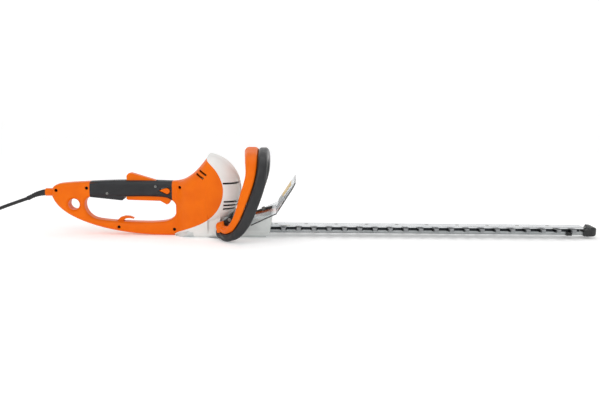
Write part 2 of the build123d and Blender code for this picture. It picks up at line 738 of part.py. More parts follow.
with BuildPart() as tip_screw:
    with BuildSketch(Plane.XY.offset(22.6)):
        with Locations((TIP_SCREW_X, 0)):
            Circle(4.6)
    extrude(amount=3.4)
    fillet(tip_screw.edges().group_by(Axis.Z)[-1], 1.2)
    with BuildSketch(Plane.XY.offset(24.0)):
        with Locations((TIP_SCREW_X, 0)):
            RegularPolygon(2.3, 6)
    extrude(amount=3.0, mode=Mode.SUBTRACT)
    with BuildSketch(Plane.XY.offset(7.5)):
        with Locations((TIP_SCREW_X, 0)):
            Circle(2.5)
    extrude(amount=15.1)
tip_screw.part.label = "tip_screw"
export_step(tip_screw.part, "parts/tip_screw.step")

# ---------------------------------------------------------------- crank drive
with BuildPart() as crank_shaft:
    for radius, low, high, offset_y in (
        (CRANK_SHAFT_RADIUS, 4.8, 11.6, 0.0),
        (ECCENTRIC_RADIUS, 11.6, 17.0, -STROKE),
        (CRANK_SHAFT_RADIUS, 17.0, 24.2, 0.0),
        (ECCENTRIC_RADIUS, 24.2, 29.8, STROKE),
        (CRANK_SHAFT_RADIUS, 29.8, 54.6, 0.0),
    ):
        with BuildSketch(Plane.XY.offset(low)):
            with Locations((CRANK_X, offset_y)):
                Circle(radius)
        extrude(amount=high - low)
crank_shaft.part.label = "crank_shaft"
export_step(crank_shaft.part, "parts/crank_shaft.step")


def gear_points(teeth, centre_x, turn):
    """The outline of a spur gear with trapezoidal teeth."""
    pitch_radius = GEAR_MODULE * teeth / 2
    tip, root = pitch_radius + 0.85 * GEAR_MODULE, pitch_radius - 1.15 * GEAR_MODULE
    points = []
    for k in range(teeth):
        for radius, share in ((root, -0.30), (tip, -0.13), (tip, 0.13), (root, 0.30)):
            angle = 2 * pi * (k + share + turn) / teeth
            points.append((centre_x + radius * cos(angle), radius * sin(angle)))
    return points


with BuildPart() as crank_gear:
    with BuildSketch(Plane.XY.offset(GEAR_Z[0])):
        Polygon(*gear_points(GEAR_TEETH, CRANK_X, 0.5), align=None)
        with Locations((CRANK_X, 0)):
            Circle(CRANK_SHAFT_RADIUS, mode=Mode.SUBTRACT)
            with PolarLocations(21.0, 6):
                Circle(5.5, mode=Mode.SUBTRACT)
    extrude(amount=GEAR_Z[1] - GEAR_Z[0])
crank_gear.part.label = "crank_gear"
export_step(crank_gear.part, "parts/crank_gear.step")


def ring(x, inner, outer, low, high):
    """A plain ring round a vertical axis in the middle plane."""
    with BuildPart() as hoop:
        with BuildSketch(Plane.XY.offset(low)):
            with Locations((x, 0)):
                Circle(outer)
                Circle(inner, mode=Mode.SUBTRACT)
        extrude(amount=high - low)
    return hoop.part


with BuildPart() as crank_bearings:
    add(ring(CRANK_X, CRANK_SHAFT_RADIUS + RUNNING_FIT, 13.0, 4.8, 10.4))
    add(ring(CRANK_X, CRANK_SHAFT_RADIUS + RUNNING_FIT, 13.0, 46.0, 54.6))
crank_bearings.part.label = "crank_bearings"
export_step(crank_bearings.part, "parts/crank_bearings.step")


def rod(side, z_range, pin_range):
    """A connecting rod: big end round its eccentric, small end over or under its blade."""
    big, small = (CRANK_X, side * STROKE), (ROD_END_X, 0.0)
    with BuildPart() as link:
        with BuildSketch(Plane.XY.offset(z_range[0])):
            with Locations(big):
                Circle(21.0)
            with Locations(small):
                Circle(8.0)
            with BuildLine():
                upper_side = ((big[0], big[1] + 12.0), (small[0], 6.0))
                lower_side = ((small[0], -6.0), (big[0], big[1] - 12.0))
                Polyline(*upper_side, *lower_side, close=True)
            make_face()
            with Locations(big):
                Circle(ECCENTRIC_RADIUS + RUNNING_FIT, mode=Mode.SUBTRACT)
        extrude(amount=z_range[1] - z_range[0])
        with BuildSketch(Plane.XY.offset(pin_range[0])):
            with Locations(small):
                Circle(5.0)
        extrude(amount=pin_range[1] - pin_range[0])
    return link.part


with BuildPart() as upper_rod:
    add(rod(1, UPPER_ROD_Z, (UPPER_BLADE_Z + BLADE_THICKNESS + GAP, UPPER_ROD_Z[0])))
upper_rod.part.label = "upper_rod"
export_step(upper_rod.part, "parts/upper_rod.step")

with BuildPart() as lower_rod:
    add(rod(-1, LOWER_ROD_Z, (LOWER_ROD_Z[1], LOWER_BLADE_Z - GAP)))
lower_rod.part.label = "lower_rod"
export_step(lower_rod.part, "parts/lower_rod.step")

# ---------------------------------------------------------------- motor
with BuildPart() as motor_shaft:
    with BuildSketch(Plane.XY.offset(31.3)):
        with Locations((MOTOR_X, 0)):
            Circle(5.0)
    extrude(amount=136.7)
    with BuildSketch(Plane.XY.offset(31.3)):
        Polygon(*gear_points(PINION_TEETH, MOTOR_X, 0.0), align=None)
    extrude(amount=13.5)
motor_shaft.part.label = "motor_shaft"
export_step(motor_shaft.part, "parts/motor_shaft.step")

with BuildPart() as armature:
    add(ring(MOTOR_X, 5.0, 22.0, 80.0, 126.0))
    with Locations((MOTOR_X, 0, 0)):
        with PolarLocations(22.0, 12):
            with Locations((0, 0, 103.0)):
                Box(4.0, 1.6, 50.0, mode=Mode.SUBTRACT)
armature.part.label = "armature"
export_step(armature.part, "parts/armature.step")

with BuildPart() as commutator:
    with BuildSketch(Plane.XY.offset(135.0)):
        with Locations((MOTOR_X, 0)):
            Circle(13.0)
            Circle(5.0, mode=Mode.SUBTRACT)
            with PolarLocations(13.0, 24):
                Rectangle(2.4, 0.8, mode=Mode.SUBTRACT)
    extrude(amount=15.0)
commutator.part.label = "commutator"
export_step(commutator.part, "parts/commutator.step")

with BuildPart() as fan:
    add(ring(MOTOR_X, 5.0, 29.0, 63.0, 65.0))
    add(ring(MOTOR_X, 5.0, 9.0, 65.0, 73.0))
    with BuildSketch(Plane.XY.offset(65.0)):
        with Locations((MOTOR_X, 0)):
            with PolarLocations(18.5, 9):
                Rectangle(20.0, 1.6, rotation=25.0)
    extrude(amount=7.0)
fan.part.label = "fan"
export_step(fan.part, "parts/fan.step")

with BuildPart() as motor_bearings:
    add(ring(MOTOR_X, 5.0 + RUNNING_FIT, 11.0, 50.0, 58.0))
    add(ring(MOTOR_X, 5.0 + RUNNING_FIT, 10.0, 158.0, 166.0))
motor_bearings.part.label = "motor_bearings"
export_step(motor_bearings.part, "parts/motor_bearings.step")

with BuildPart() as stator_core:
    with BuildSketch(Plane.XY.offset(80.0)):
        with Locations((MOTOR_X, 0)):
            Circle(39.0)
            Circle(30.0, mode=Mode.SUBTRACT)
            with PolarLocations(28.0, 2, start_angle=90.0):
                Rectangle(10.0, 26.0)
            Circle(23.0, mode=Mode.SUBTRACT)
    extrude(amount=46.0)
stator_core.part.label = "stator_core"
export_step(stator_core.part, "parts/stator_core.step")

with BuildPart() as stator_windings:
    for side in (-1, 1):
        for low, high in ((74.5, 80.0), (126.0, 131.5)):
            with BuildSketch(Plane.XY.offset(low)):
                with Locations((MOTOR_X, side * 30.0)):
                    RectangleRounded(40.0, 11.0, 5.0)
            extrude(amount=high - low)
stator_windings.part.label = "stator_windings"
export_step(stator_windings.part, "parts/stator_windings.step")

# End frame that carries the upper bearing and the brush holders on four legs.
with BuildPart() as motor_end_frame:
    add(ring(MOTOR_X, 10.0, 14.0, 156.0, 168.0))
    add(ring(MOTOR_X, 10.0, 34.0, 153.0, 156.0))
    add(ring(MOTOR_X, 31.0, 39.0, 132.0, 135.0))
    with BuildSketch(Plane.XY.offset(134.0)):
        with Locations((MOTOR_X, 0)):
            with PolarLocations(32.5, 4, start_angle=45.0):
                Rectangle(3.0, 8.0)
    extrude(amount=20.0)
motor_end_frame.part.label = "motor_end_frame"
export_step(motor_end_frame.part, "parts/motor_end_frame.step")

with BuildPart() as brush_holders:
    for side in (-1, 1):
        with Locations((MOTOR_X, side * 24.0, 143.0)):
            Box(9.0, 18.0, 11.0)
            Box(5.4, 20.0, 7.4, mode=Mode.SUBTRACT)
        with Locations((MOTOR_X, side * 28.0, 150.8)):
            Box(9.0, 8.0, 4.4)
brush_holders.part.label = "brush_holders"
export_step(brush_holders.part, "parts/brush_holders.step")

with BuildPart() as carbon_brushes:
    for side in (-1, 1):
        with Locations((MOTOR_X, side * 22.1, 143.0)):
            Box(5.0, 17.6, 7.0)
carbon_brushes.part.label = "carbon_brushes"
export_step(carbon_brushes.part, "parts/carbon_brushes.step")

# ---------------------------------------------------------------- trigger, lever and switches
def pivot_pin(pivot, radius, half_length):
    """A round pin across the tool at a pivot given as x and z."""
    with BuildPart() as pin:
        with BuildSketch(Plane.XZ):
            with Locations(pivot):
                Circle(radius)
        extrude(amount=half_length, both=True)
    return pin.part


TRIGGER_SIDE = [
    (-232.0, 94.0),
    (-232.0, 86.0),
    (-228.0, 84.0),
    (-152.0, 82.2),
    (-143.0, 77.0),
    (-137.0, 73.5),
    (-131.5, 76.0),
    (-128.0, 83.0),
    (-127.0, 92.0),
    (-127.5, 96.0),
]
TRIGGER_ARM = [
    (-147.0, 93.0),
    (-128.0, 93.0),
    (-118.0, 95.0),
    (-118.0, 103.5),
    (-128.0, 108.0),
    (-140.0, 108.0),
]
with BuildPart() as trigger:
    with BuildSketch(Plane.XZ):
        Polygon(*TRIGGER_SIDE, align=None)
    extrude(amount=12.0, both=True)
    fillet(rims(trigger), 2.0)
    with BuildSketch(Plane.XZ):
        Polygon(*TRIGGER_ARM, align=None)
        with Locations(TRIGGER_PIVOT):
            Circle(4.8)
    extrude(amount=6.0, both=True)
    extrude(ear_face(), amount=HANDLE_HALF_WIDTH + 0.4, both=True)
    with BuildSketch(Plane.XZ):
        with Locations(TRIGGER_PIVOT):
            Circle(PIN_RADIUS + RUNNING_FIT)
    extrude(amount=12.0, both=True, mode=Mode.SUBTRACT)
trigger.part.label = "trigger"
export_step(trigger.part, "parts/trigger.step")

with BuildPart() as trigger_pin:
    add(pivot_pin(TRIGGER_PIVOT, PIN_RADIUS, 17.5))
trigger_pin.part.label = "trigger_pin"
export_step(trigger_pin.part, "parts/trigger_pin.step")

LEVER_SIDE = [
    (-231.0, 121.5),
    (-231.5, 141.0),
    (-227.5, 146.5),
    (-221.0, 148.0),
    (-165.0, 131.5),
    (-162.0, 126.0),
    (-163.0, 118.0),
    (-168.0, 116.0),
    (-174.0, 119.0),
]
with BuildPart() as lockout_lever:
    with BuildSketch(Plane.XZ):
        Polygon(*LEVER_SIDE, align=None)
    extrude(amount=8.0, both=True)
    top_edges = lockout_lever.edges().filter_by(Axis.Y).group_by(Axis.Z)[-3:]
    fillet([edge for group in top_edges for edge in group], 2.0)
    with BuildSketch(Plane.XZ):
        with Locations(LEVER_PIVOT):
            Circle(PIN_RADIUS + RUNNING_FIT)
    extrude(amount=20.0, both=True, mode=Mode.SUBTRACT)
lockout_lever.part.label = "lockout_lever"
export_step(lockout_lever.part, "parts/lockout_lever.step")

with BuildPart() as lever_pin:
    add(pivot_pin(LEVER_PIVOT, PIN_RADIUS, 13.0))
lever_pin.part.label = "lever_pin"
export_step(lever_pin.part, "parts/lever_pin.step")

with BuildPart() as handle_switch:
    middle_box((-225.0, -185.0), 10.5, (101.0, 111.5))
    fillet(handle_switch.edges().filter_by(Axis.Y), 1.0)
    for x in (-219.0, -191.0):
        with BuildSketch(Plane.XZ):
            with Locations((x, 108.5)):
                Circle(1.5)
        extrude(amount=20.0, both=True, mode=Mode.SUBTRACT)
handle_switch.part.label = "handle_switch"
export_step(handle_switch.part, "parts/handle_switch.step")

with BuildPart() as bail_switch:
    middle_box((-96.0, -72.0), 9.0, (86.0, 99.0))
    fillet(bail_switch.edges().filter_by(Axis.Y), 1.0)
bail_switch.part.label = "bail_switch"
export_step(bail_switch.part, "parts/bail_switch.step")

with BuildPart() as capacitor:
    with BuildSketch(Plane.XZ):
        with Locations((-90.0, 66.0)):
            Circle(9.0)
    extrude(amount=16.0, both=True)
    fillet(capacitor.edges(), 1.2)
capacitor.part.label = "capacitor"
export_step(capacitor.part, "parts/capacitor.step")

with BuildPart() as cord_clamp:
    middle_box((-384.0, -374.0), 11.0, (92.0, 108.0))
    fillet(cord_clamp.edges().filter_by(Axis.X), 3.0)
    with BuildSketch(across(-390.0)):
        with Locations((0, GLAND_Z)):
            Circle(3.6)
    extrude(amount=30.0, mode=Mode.SUBTRACT)
cord_clamp.part.label = "cord_clamp"
export_step(cord_clamp.part, "parts/cord_clamp.step")

HOOK_SIDE = [
    (-256.5, 26.0),
    (-256.5, 33.5),
    (-249.0, 41.0),
    (-238.0, 44.5),
    (-226.0, 43.8),
    (-217.0, 40.0),
    (-217.5, 37.6),
    (-226.0, 39.4),
    (-235.0, 38.8),
    (-241.5, 34.0),
    (-241.5, 26.0),
]
with BuildPart() as cable_hook:
    with BuildSketch(Plane.XZ):
        Polygon(*HOOK_SIDE, align=None)
    extrude(amount=4.8, both=True)
cable_hook.part.label = "cable_hook"
export_step(cable_hook.part, "parts/cable_hook.step")

# ---------------------------------------------------------------- front loop handle
BRACKET_HALF_WIDTH = 53.0
LOOP_WALL = 3.2
BAIL_PIVOT = (45.0, 84.0)
BAIL_GAP = 1.4
BAIL_THICKNESS = 5.0
BAIL_PIN_RADIUS = 2.0
# Stations along the seam on the loop's outer face, from its top down to its end on the
# near side: x, y, z, droop of the axial direction, orange width, black width, thickness.
LOOP = [
    (80.0, 0.0, 208.0, 0.0, 30.0, 23.0, 27.0),
    (80.5, -30.0, 207.0, 1.0, 30.0, 23.0, 27.0),
    (81.0, -62.0, 200.0, 2.0, 29.0, 23.0, 27.0),
    (81.0, -92.0, 182.0, 5.0, 26.0, 24.0, 27.0),
    (77.0, -112.0, 151.0, 11.0, 22.0, 26.0, 27.0),
    (66.0, -119.0, 114.0, 18.0, 21.0, 27.0, 27.0),
    (54.0, -119.5, 82.0, 22.0, 18.0, 27.0, 26.0),
    (42.0, -118.0, 54.0, 28.0, 16.0, 26.0, 25.0),
    (28.0, -111.0, 32.0, 45.0, 15.0, 23.0, 22.0),
    (10.0, -95.0, 20.0, 72.0, 15.0, 19.0, 18.0),
    (-5.0, -76.0, 20.5, 88.0, 15.0, 17.0, 14.0),
    (-12.0, -52.0, 25.0, 92.0, 14.0, 15.0, 12.0),
]


def loop_plane(k):
    """The section plane at a station: x along the loop's axis, y outward."""
    here = Vector(*LOOP[k][:3])
    before = Vector(*LOOP[k - 1][:3]) if k else Vector(LOOP[1][0], -LOOP[1][1], LOOP[1][2])
    after = Vector(*LOOP[k + 1][:3]) if k + 1 < len(LOOP) else here + Vector(-3.0, 12.0, 2.0)
    along = (after - before).normalized()
    droop = radians(LOOP[k][3])
    guide = Vector(cos(droop), 0, -sin(droop))
    axial = guide - along * guide.dot(along)
    return Plane(origin=here, x_dir=axial, z_dir=along)


def loop_half(spans, stations=12):
    """Half of a band of the loop: spans gives a station's x range and the band's two depths."""
    with BuildPart() as band:
        for k, station in enumerate(LOOP[:stations]):
            low, high, outer, inner = spans(station)
            with BuildSketch(loop_plane(k)):
                with Locations(((low + high) / 2, -(outer + inner) / 2)):
                    RectangleRounded(high - low, inner - outer, min(high - low, inner - outer) * 0.3)
        loft()
    return band.part


def clear_of_case():
    """Cuts away whatever would reach into the gear case or its side plates."""
    middle_box((-60.0, 60.0), CASE_HALF_WIDTH, (-20.0, CASE_JOINT_Z), mode=Mode.SUBTRACT)
    middle_box((-60.0, 40.0), BRACKET_HALF_WIDTH, (CASE_JOINT_Z, 70.0), mode=Mode.SUBTRACT)


with BuildPart() as front_handle_frame:
    add(loop_half(lambda station: (-station[4], 0.0, 0.0, station[6])))
    inside = loop_half(lambda station: (LOOP_WALL - station[4], 1.0, LOOP_WALL, station[6] - LOOP_WALL), 9)
    add(inside, mode=Mode.SUBTRACT)
    mirror(about=Plane.XZ)
    clear_of_case()
    for side in (-1, 1):
        with BuildSketch(Plane.XZ.offset(-side * 101.0)):
            with Locations(BAIL_PIVOT):
                Circle(BAIL_PIN_RADIUS + RUNNING_FIT)
        extrude(amount=side * 12.0, mode=Mode.SUBTRACT)
front_handle_frame.part.label = "front_handle_frame"
export_step(front_handle_frame.part, "parts/front_handle_frame.step")

with BuildPart() as front_handle_grip:
    add(loop_half(lambda station: (0.0, station[5], 0.0, station[6])))
    inside = loop_half(lambda station: (-1.0, station[5] - LOOP_WALL, LOOP_WALL, station[6] - LOOP_WALL), 9)
    add(inside, mode=Mode.SUBTRACT)
    mirror(about=Plane.XZ)
    add(front_handle_frame.part, mode=Mode.SUBTRACT)
    clear_of_case()
    middle_box((-60.0, 140.0), 150.0, (-40.0, 0.0), mode=Mode.SUBTRACT)
front_handle_grip.part.label = "front_handle_grip"
export_step(front_handle_grip.part, "parts/front_handle_grip.step")

# ---------------------------------------------------------------- switch bail, side plates
def bail_span(station):
    """The bail is a strip just inside the loop's orange part."""
    depth = station[6] + BAIL_GAP
    return (3.0 - station[4], 15.0 - station[4], depth, depth + BAIL_THICKNESS)


with BuildPart() as switch_bail:
    add(loop_half(bail_span, stations=7))
    mirror(about=Plane.XZ)
    for side in (-1, 1):
        with BuildSketch(Plane.XZ.offset(-side * 96.0)):
            with Locations(BAIL_PIVOT):
                Circle(BAIL_PIN_RADIUS + RUNNING_FIT)
        extrude(amount=side * 20.0, mode=Mode.SUBTRACT)
switch_bail.part.label = "switch_bail"
export_step(switch_bail.part, "parts/switch_bail.step")

with BuildPart() as bail_pins:
    for side in (-1, 1):
        with BuildSketch(Plane.XZ.offset(-side * 100.8)):
            with Locations(BAIL_PIVOT):
                Circle(BAIL_PIN_RADIUS)
        extrude(amount=side * 15.0)
bail_pins.part.label = "bail_pins"
export_step(bail_pins.part, "parts/bail_pins.step")

BRACKET_SIDE = [
    (-6.5, CASE_JOINT_Z),
    (-6.5, 38.0),
    (8.0, 47.0),
    (21.5, 57.0),
    (21.5, CASE_JOINT_Z),
]
BRACKET_SCREWS = [(15.0, 34.0), (15.0, 46.0)]
with BuildPart() as handle_brackets:
    with BuildSketch(Plane.XZ):
        Polygon(*BRACKET_SIDE, align=None)
    extrude(amount=BRACKET_HALF_WIDTH, both=True)
    add(case_form.part, mode=Mode.SUBTRACT)
    middle_box((-20.0, 30.0), 40.0, (20.0, 70.0), mode=Mode.SUBTRACT)
    for x, z in BRACKET_SCREWS:
        with BuildSketch(Plane.XZ):
            with Locations((x, z)):
                Circle(2.0)
        extrude(amount=60.0, both=True, mode=Mode.SUBTRACT)
handle_brackets.part.label = "handle_brackets"
export_step(handle_brackets.part, "parts/handle_brackets.step")

with BuildPart() as handle_screws:
    for side in (-1, 1):
        for x, z in BRACKET_SCREWS:
            with BuildSketch(Plane.XZ.offset(-side * BRACKET_HALF_WIDTH)):
                with Locations((x, z)):
                    Circle(3.8)
                    RegularPolygon(1.7, 6, mode=Mode.SUBTRACT)
            extrude(amount=-side * 2.4)
            with BuildSketch(Plane.XZ.offset(-side * BRACKET_HALF_WIDTH)):
                with Locations((x, z)):
                    Circle(1.95)
            extrude(amount=side * 12.8)
handle_screws.part.label = "handle_screws"
export_step(handle_screws.part, "parts/handle_screws.step")

# ---------------------------------------------------------------- hand guard
GUARD_LINE = [(66.0, 51.0), (125.0, 77.0), (168.0, 142.0)]
GUARD_THICKNESS = 2.5
GUARD_ARCH_Z = -150.0
GUARD_HALF_ANGLE = 22.0
LABEL_SPAN = (0.12, 0.80)


def arched(points, half_angle):
    """A thin profile in the middle plane, swung to both sides about a low axis."""
    with BuildPart() as sheet:
        with BuildSketch(Plane.XZ):
            Polygon(*points, align=None)
        revolve(axis=Axis((0, 0, GUARD_ARCH_Z), (1, 0, 0)), revolution_arc=half_angle)
        mirror(about=Plane.XZ)
    return sheet.part


def raised(point, slope, height):
    """A point moved square to a line of the given slope, in degrees."""
    return (point[0] - height * sin(radians(slope)), point[1] + height * cos(radians(slope)))


SLOPES = [
    degrees(atan2(end[1] - start[1], end[0] - start[0])) for start, end in zip(GUARD_LINE, GUARD_LINE[1:])
]
GUARD_SEATS = [
    Plane(
        origin=(GUARD_SCREW[0], y, GUARD_SCREW[1]),
        x_dir=(0, 1, 0),
        z_dir=(-sin(radians(SLOPES[0])), 0, cos(radians(SLOPES[0]))),
    )
    for y in (-9.0, 9.0)
]
with BuildPart() as hand_guard:
    upper = [
        raised(GUARD_LINE[0], SLOPES[0], GUARD_THICKNESS),
        raised(GUARD_LINE[1], sum(SLOPES) / 2, GUARD_THICKNESS / cos(radians(SLOPES[1] - SLOPES[0]) / 2)),
        raised(GUARD_LINE[2], SLOPES[1], GUARD_THICKNESS),
    ]
    add(arched([*GUARD_LINE, *reversed(upper)], GUARD_HALF_ANGLE))
    add(case_form.part, mode=Mode.SUBTRACT)
    # rounded top corners, cut through the sheet along the tool
    with BuildSketch(across(40.0)):
        with Locations((0, 60.0)):
            RectangleRounded(2 * 76.0, 163.0, 26.0)
    extrude(amount=150.0, mode=Mode.INTERSECT)
    for seat in GUARD_SEATS:
        with BuildSketch(seat):
            Circle(2.0)
        extrude(amount=10.0, both=True, mode=Mode.SUBTRACT)
    add(hand_guard.part.solids().sort_by(SortBy.VOLUME)[-1], mode=Mode.REPLACE)
hand_guard.part.label = "hand_guard"
export_step(hand_guard.part, "parts/hand_guard.step")

with BuildPart() as guard_label:
    start, end = Vector(*GUARD_LINE[1]), Vector(*GUARD_LINE[2])
    low, high = ((start + (end - start) * share).to_tuple() for share in LABEL_SPAN)
    corners = [
        raised(low, SLOPES[1], GUARD_THICKNESS + 0.05),
        raised(high, SLOPES[1], GUARD_THICKNESS + 0.05),
        raised(high, SLOPES[1], GUARD_THICKNESS + 0.45),
        raised(low, SLOPES[1], GUARD_THICKNESS + 0.45),
    ]
    add(arched(corners, 8.5))
guard_label.part.label = "guard_label"
export_step(guard_label.part, "parts/guard_label.step")

GUARD_RIB = [(66.5, 50.9), (113.0, 71.4), (113.0, 65.0), (90.0, 52.9), (72.0, 49.7), (66.5, 49.8)]
with BuildPart() as guard_bracket:
    with BuildSketch(Plane.XZ):
        Polygon(*GUARD_RIB, align=None)
    extrude(amount=14.0, both=True)
    middle_box((84.0, 120.0), 5.0, (40.0, 64.0), mode=Mode.SUBTRACT)
    add(arched([(60.0, 48.36), (125.0, 77.0), (125.0, 90.0), (60.0, 90.0)], 7.0), mode=Mode.SUBTRACT)
    add(case_form.part, mode=Mode.SUBTRACT)
guard_bracket.part.label = "guard_bracket"
export_step(guard_bracket.part, "parts/guard_bracket.step")

with BuildPart() as guard_screws:
    for seat in GUARD_SEATS:
        with BuildSketch(seat.offset(GUARD_THICKNESS)):
            Circle(4.0)
            RegularPolygon(1.8, 6, mode=Mode.SUBTRACT)
        extrude(amount=2.2)
        with BuildSketch(seat):
            Circle(1.9)
        extrude(amount=GUARD_THICKNESS)
guard_screws.part.label = "guard_screws"
export_step(guard_screws.part, "parts/guard_screws.step")

# ---------------------------------------------------------------- mains cord
# Sections of the boot: x, z, slope of its line in degrees.
BOOT_LINE = [
    (GLAND_X - 0.05, 99.6, 0.0),
    (-440.0, 97.0, -13.0),
    (-455.0, 91.6, -23.0),
    (BOOT_END[0], BOOT_END[2], -19.5),
]
BOOT_RADII = [7.4, 6.6, 5.8, 5.2]
with BuildPart() as cord_boot:
    for (x, z, slope), radius in zip(BOOT_LINE, BOOT_RADII):
        heading = (-cos(radians(slope)), 0, sin(radians(slope)))
        with BuildSketch(Plane(origin=(x, 0, z), x_dir=(0, 1, 0), z_dir=heading)):
            Circle(radius)
    loft()
cord_boot.part.label = "cord_boot"
export_step(cord_boot.part, "parts/cord_boot.step")

COIL_CENTRE = (-684.0, -30.0)
COIL_RADIUS = 44.0
# The cord's route from its boot to the coil, as corners of straight runs.
CORD_ROUTE = [
    BOOT_END,
    (-500.0, 0.0, 73.4),
    (-538.0, 0.0, 59.5),
    (-584.0, 2.0, 39.0),
    (-622.0, 7.0, 21.5),
    (-652.0, 12.5, 12.5),
    (-672.0, 14.0, 10.0),
]
runs = [Vector(*CORD_ROUTE[k + 1]) - Vector(*CORD_ROUTE[k]) for k in range(len(CORD_ROUTE) - 1)]
turns = [runs[k].get_angle(runs[k + 1]) for k in range(len(runs) - 1)]
arc_radii = [
    0.45 * min(runs[k].length, runs[k + 1].length) / tan(radians(turns[k]) / 2) for k in range(len(turns))
]
print("cord runs", [round(run.length, 1) for run in runs])
print("cord turns", [round(turn, 1) for turn in turns])
print("cord radii", [round(radius, 1) for radius in arc_radii])
with BuildPart() as power_cord:
    with BuildLine() as cord_line:
        FilletPolyline(*CORD_ROUTE, radius=arc_radii)
    with BuildSketch(Plane(origin=CORD_ROUTE[0], z_dir=runs[0])):
        Circle(CORD_DIAMETER / 2)
    sweep()
cord_length = sum(edge.length for edge in cord_line.edges())
print("cord volume share", power_cord.part.volume / (cord_length * pi * (CORD_DIAMETER / 2) ** 2))
power_cord.part.label = "power_cord"
export_step(power_cord.part, "parts/power_cord.step")

with BuildPart() as cord_coil:
    with BuildSketch(Plane.XZ.offset(-COIL_CENTRE[1])):
        with Locations((COIL_CENTRE[0] + COIL_RADIUS + 4.0, 6.5)):
            RectangleRounded(17.0, 13.0, 4.0)
    revolve(axis=Axis((COIL_CENTRE[0], COIL_CENTRE[1], 0), (0, 0, 1)))
cord_coil.part.label = "cord_coil"
export_step(cord_coil.part, "parts/cord_coil.step")

PLUG_Y = COIL_CENTRE[1] + COIL_RADIUS + CORD_DIAMETER
PLUG_Z = 12.2
# Sections of the moulded plug: x, width, height, corner.
PLUG = [
    (-716.0, 11.0, 11.0, 5.2),
    (-732.0, 15.0, 14.0, 6.5),
    (-740.0, 32.0, 22.0, 10.0),
    (-762.0, 34.0, 24.0, 11.0),
]


def plug_plane(x, y=PLUG_Y):
    """A section of the plug, square to its length."""
    return Plane(origin=(x, y, PLUG_Z), x_dir=(0, 1, 0), z_dir=(-1, 0, 0))


with BuildPart() as plug:
    for x, width, height, corner in PLUG:
        with BuildSketch(plug_plane(x)):
            RectangleRounded(width, height, corner)
    loft(ruled=True)
plug.part.label = "plug"
export_step(plug.part, "parts/plug.step")

with BuildPart() as plug_pins:
    for side in (-1, 1):
        with BuildSketch(plug_plane(PLUG[-1][0], PLUG_Y + side * 9.5)):
            Circle(2.4)
        extrude(amount=19.0)
    fillet(plug_pins.edges().group_by(Axis.X)[0], 1.0)
plug_pins.part.label = "plug_pins"
export_step(plug_pins.part, "parts/plug_pins.step")
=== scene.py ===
"""Looks of a corded hedge trimmer: materials, cord, plug, light and camera round its frame."""

import logging
import math
from dataclasses import dataclass
from enum import Enum
from typing import Callable, Sequence

import bmesh
import bpy
from mathutils import Matrix, Vector


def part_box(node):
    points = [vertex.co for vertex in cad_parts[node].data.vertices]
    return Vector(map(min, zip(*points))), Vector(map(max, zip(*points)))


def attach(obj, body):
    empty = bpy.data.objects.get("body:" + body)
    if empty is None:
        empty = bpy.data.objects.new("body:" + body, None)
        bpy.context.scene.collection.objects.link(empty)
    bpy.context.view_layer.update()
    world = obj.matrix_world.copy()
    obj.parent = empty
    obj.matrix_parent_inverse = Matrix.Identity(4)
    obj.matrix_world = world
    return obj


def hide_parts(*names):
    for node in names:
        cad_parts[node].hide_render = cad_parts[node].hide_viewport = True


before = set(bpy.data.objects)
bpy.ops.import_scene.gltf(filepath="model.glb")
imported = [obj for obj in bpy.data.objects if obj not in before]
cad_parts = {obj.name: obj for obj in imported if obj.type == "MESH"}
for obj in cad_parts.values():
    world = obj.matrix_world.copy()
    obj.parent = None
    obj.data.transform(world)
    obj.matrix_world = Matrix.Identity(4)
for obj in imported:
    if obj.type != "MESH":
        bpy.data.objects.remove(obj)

logging.basicConfig(level=logging.INFO, format="%(name)s: %(message)s")
LOG = logging.getLogger("hedge_trimmer")

MM = 0.001
HOUSING = "housing"
# Faces that meet at more than this angle keep a sharp edge.
EDGE_ANGLE = math.radians(28.0)
# Where noise values mostly lie.
NOISE_SPAN = (0.35, 0.65)
# Pointiness at which a painted highlight on convex edges starts and is full, and how strongly it then
# shows.
EDGE_HIGHLIGHT_SPAN = (0.52, 0.60)
EDGE_HIGHLIGHT_STRENGTH = 0.35
# near-white of the painted highlight on convex edges
EDGE_HIGHLIGHT_COLOUR = "F2F2EF"
BUMP_STRENGTH = 0.6

# The cord's route from its boot to the coil, in metres, as the control points of one smooth line.
CORD_ROUTE: list[tuple[float, float, float]] = [
    (-0.4680, 0.0000, 0.0847),
    (-0.5000, 0.0000, 0.0734),
    (-0.5380, 0.0000, 0.0595),
    (-0.5840, 0.0020, 0.0390),
    (-0.6220, 0.0070, 0.0215),
    (-0.6520, 0.0125, 0.0125),
    (-0.6720, 0.0140, 0.0100),
]
BOOT_LINE: list[tuple[float, float, float]] = [
    (-0.4240, 0.0, 0.0998),
    (-0.4400, 0.0, 0.0970),
    (-0.4550, 0.0, 0.0916),
    (-0.4690, 0.0, 0.0843),
]


class Axis(Enum):
    """Direction in which a surface's fine lines run."""

    NONE = (1.0, 1.0, 1.0)
    ALONG_X = (0.04, 1.0, 1.0)
    ALONG_Y = (1.0, 0.04, 1.0)
    ALONG_Z = (1.0, 1.0, 0.04)


def linear(hex_colour: str) -> tuple[float, float, float, float]:
    """Linear colour of an sRGB hex string.

    Args:
        hex_colour: six hex digits.

    Returns:
        Red, green, blue and alpha for a shader socket.
    """
    values = [int(hex_colour[k : k + 2], 16) / 255.0 for k in (0, 2, 4)]
    red, green, blue = (v / 12.92 if v <= 0.04045 else ((v + 0.055) / 1.055) ** 2.4 for v in values)
    return (red, green, blue, 1.0)


# ---------------------------------------------------------------- materials


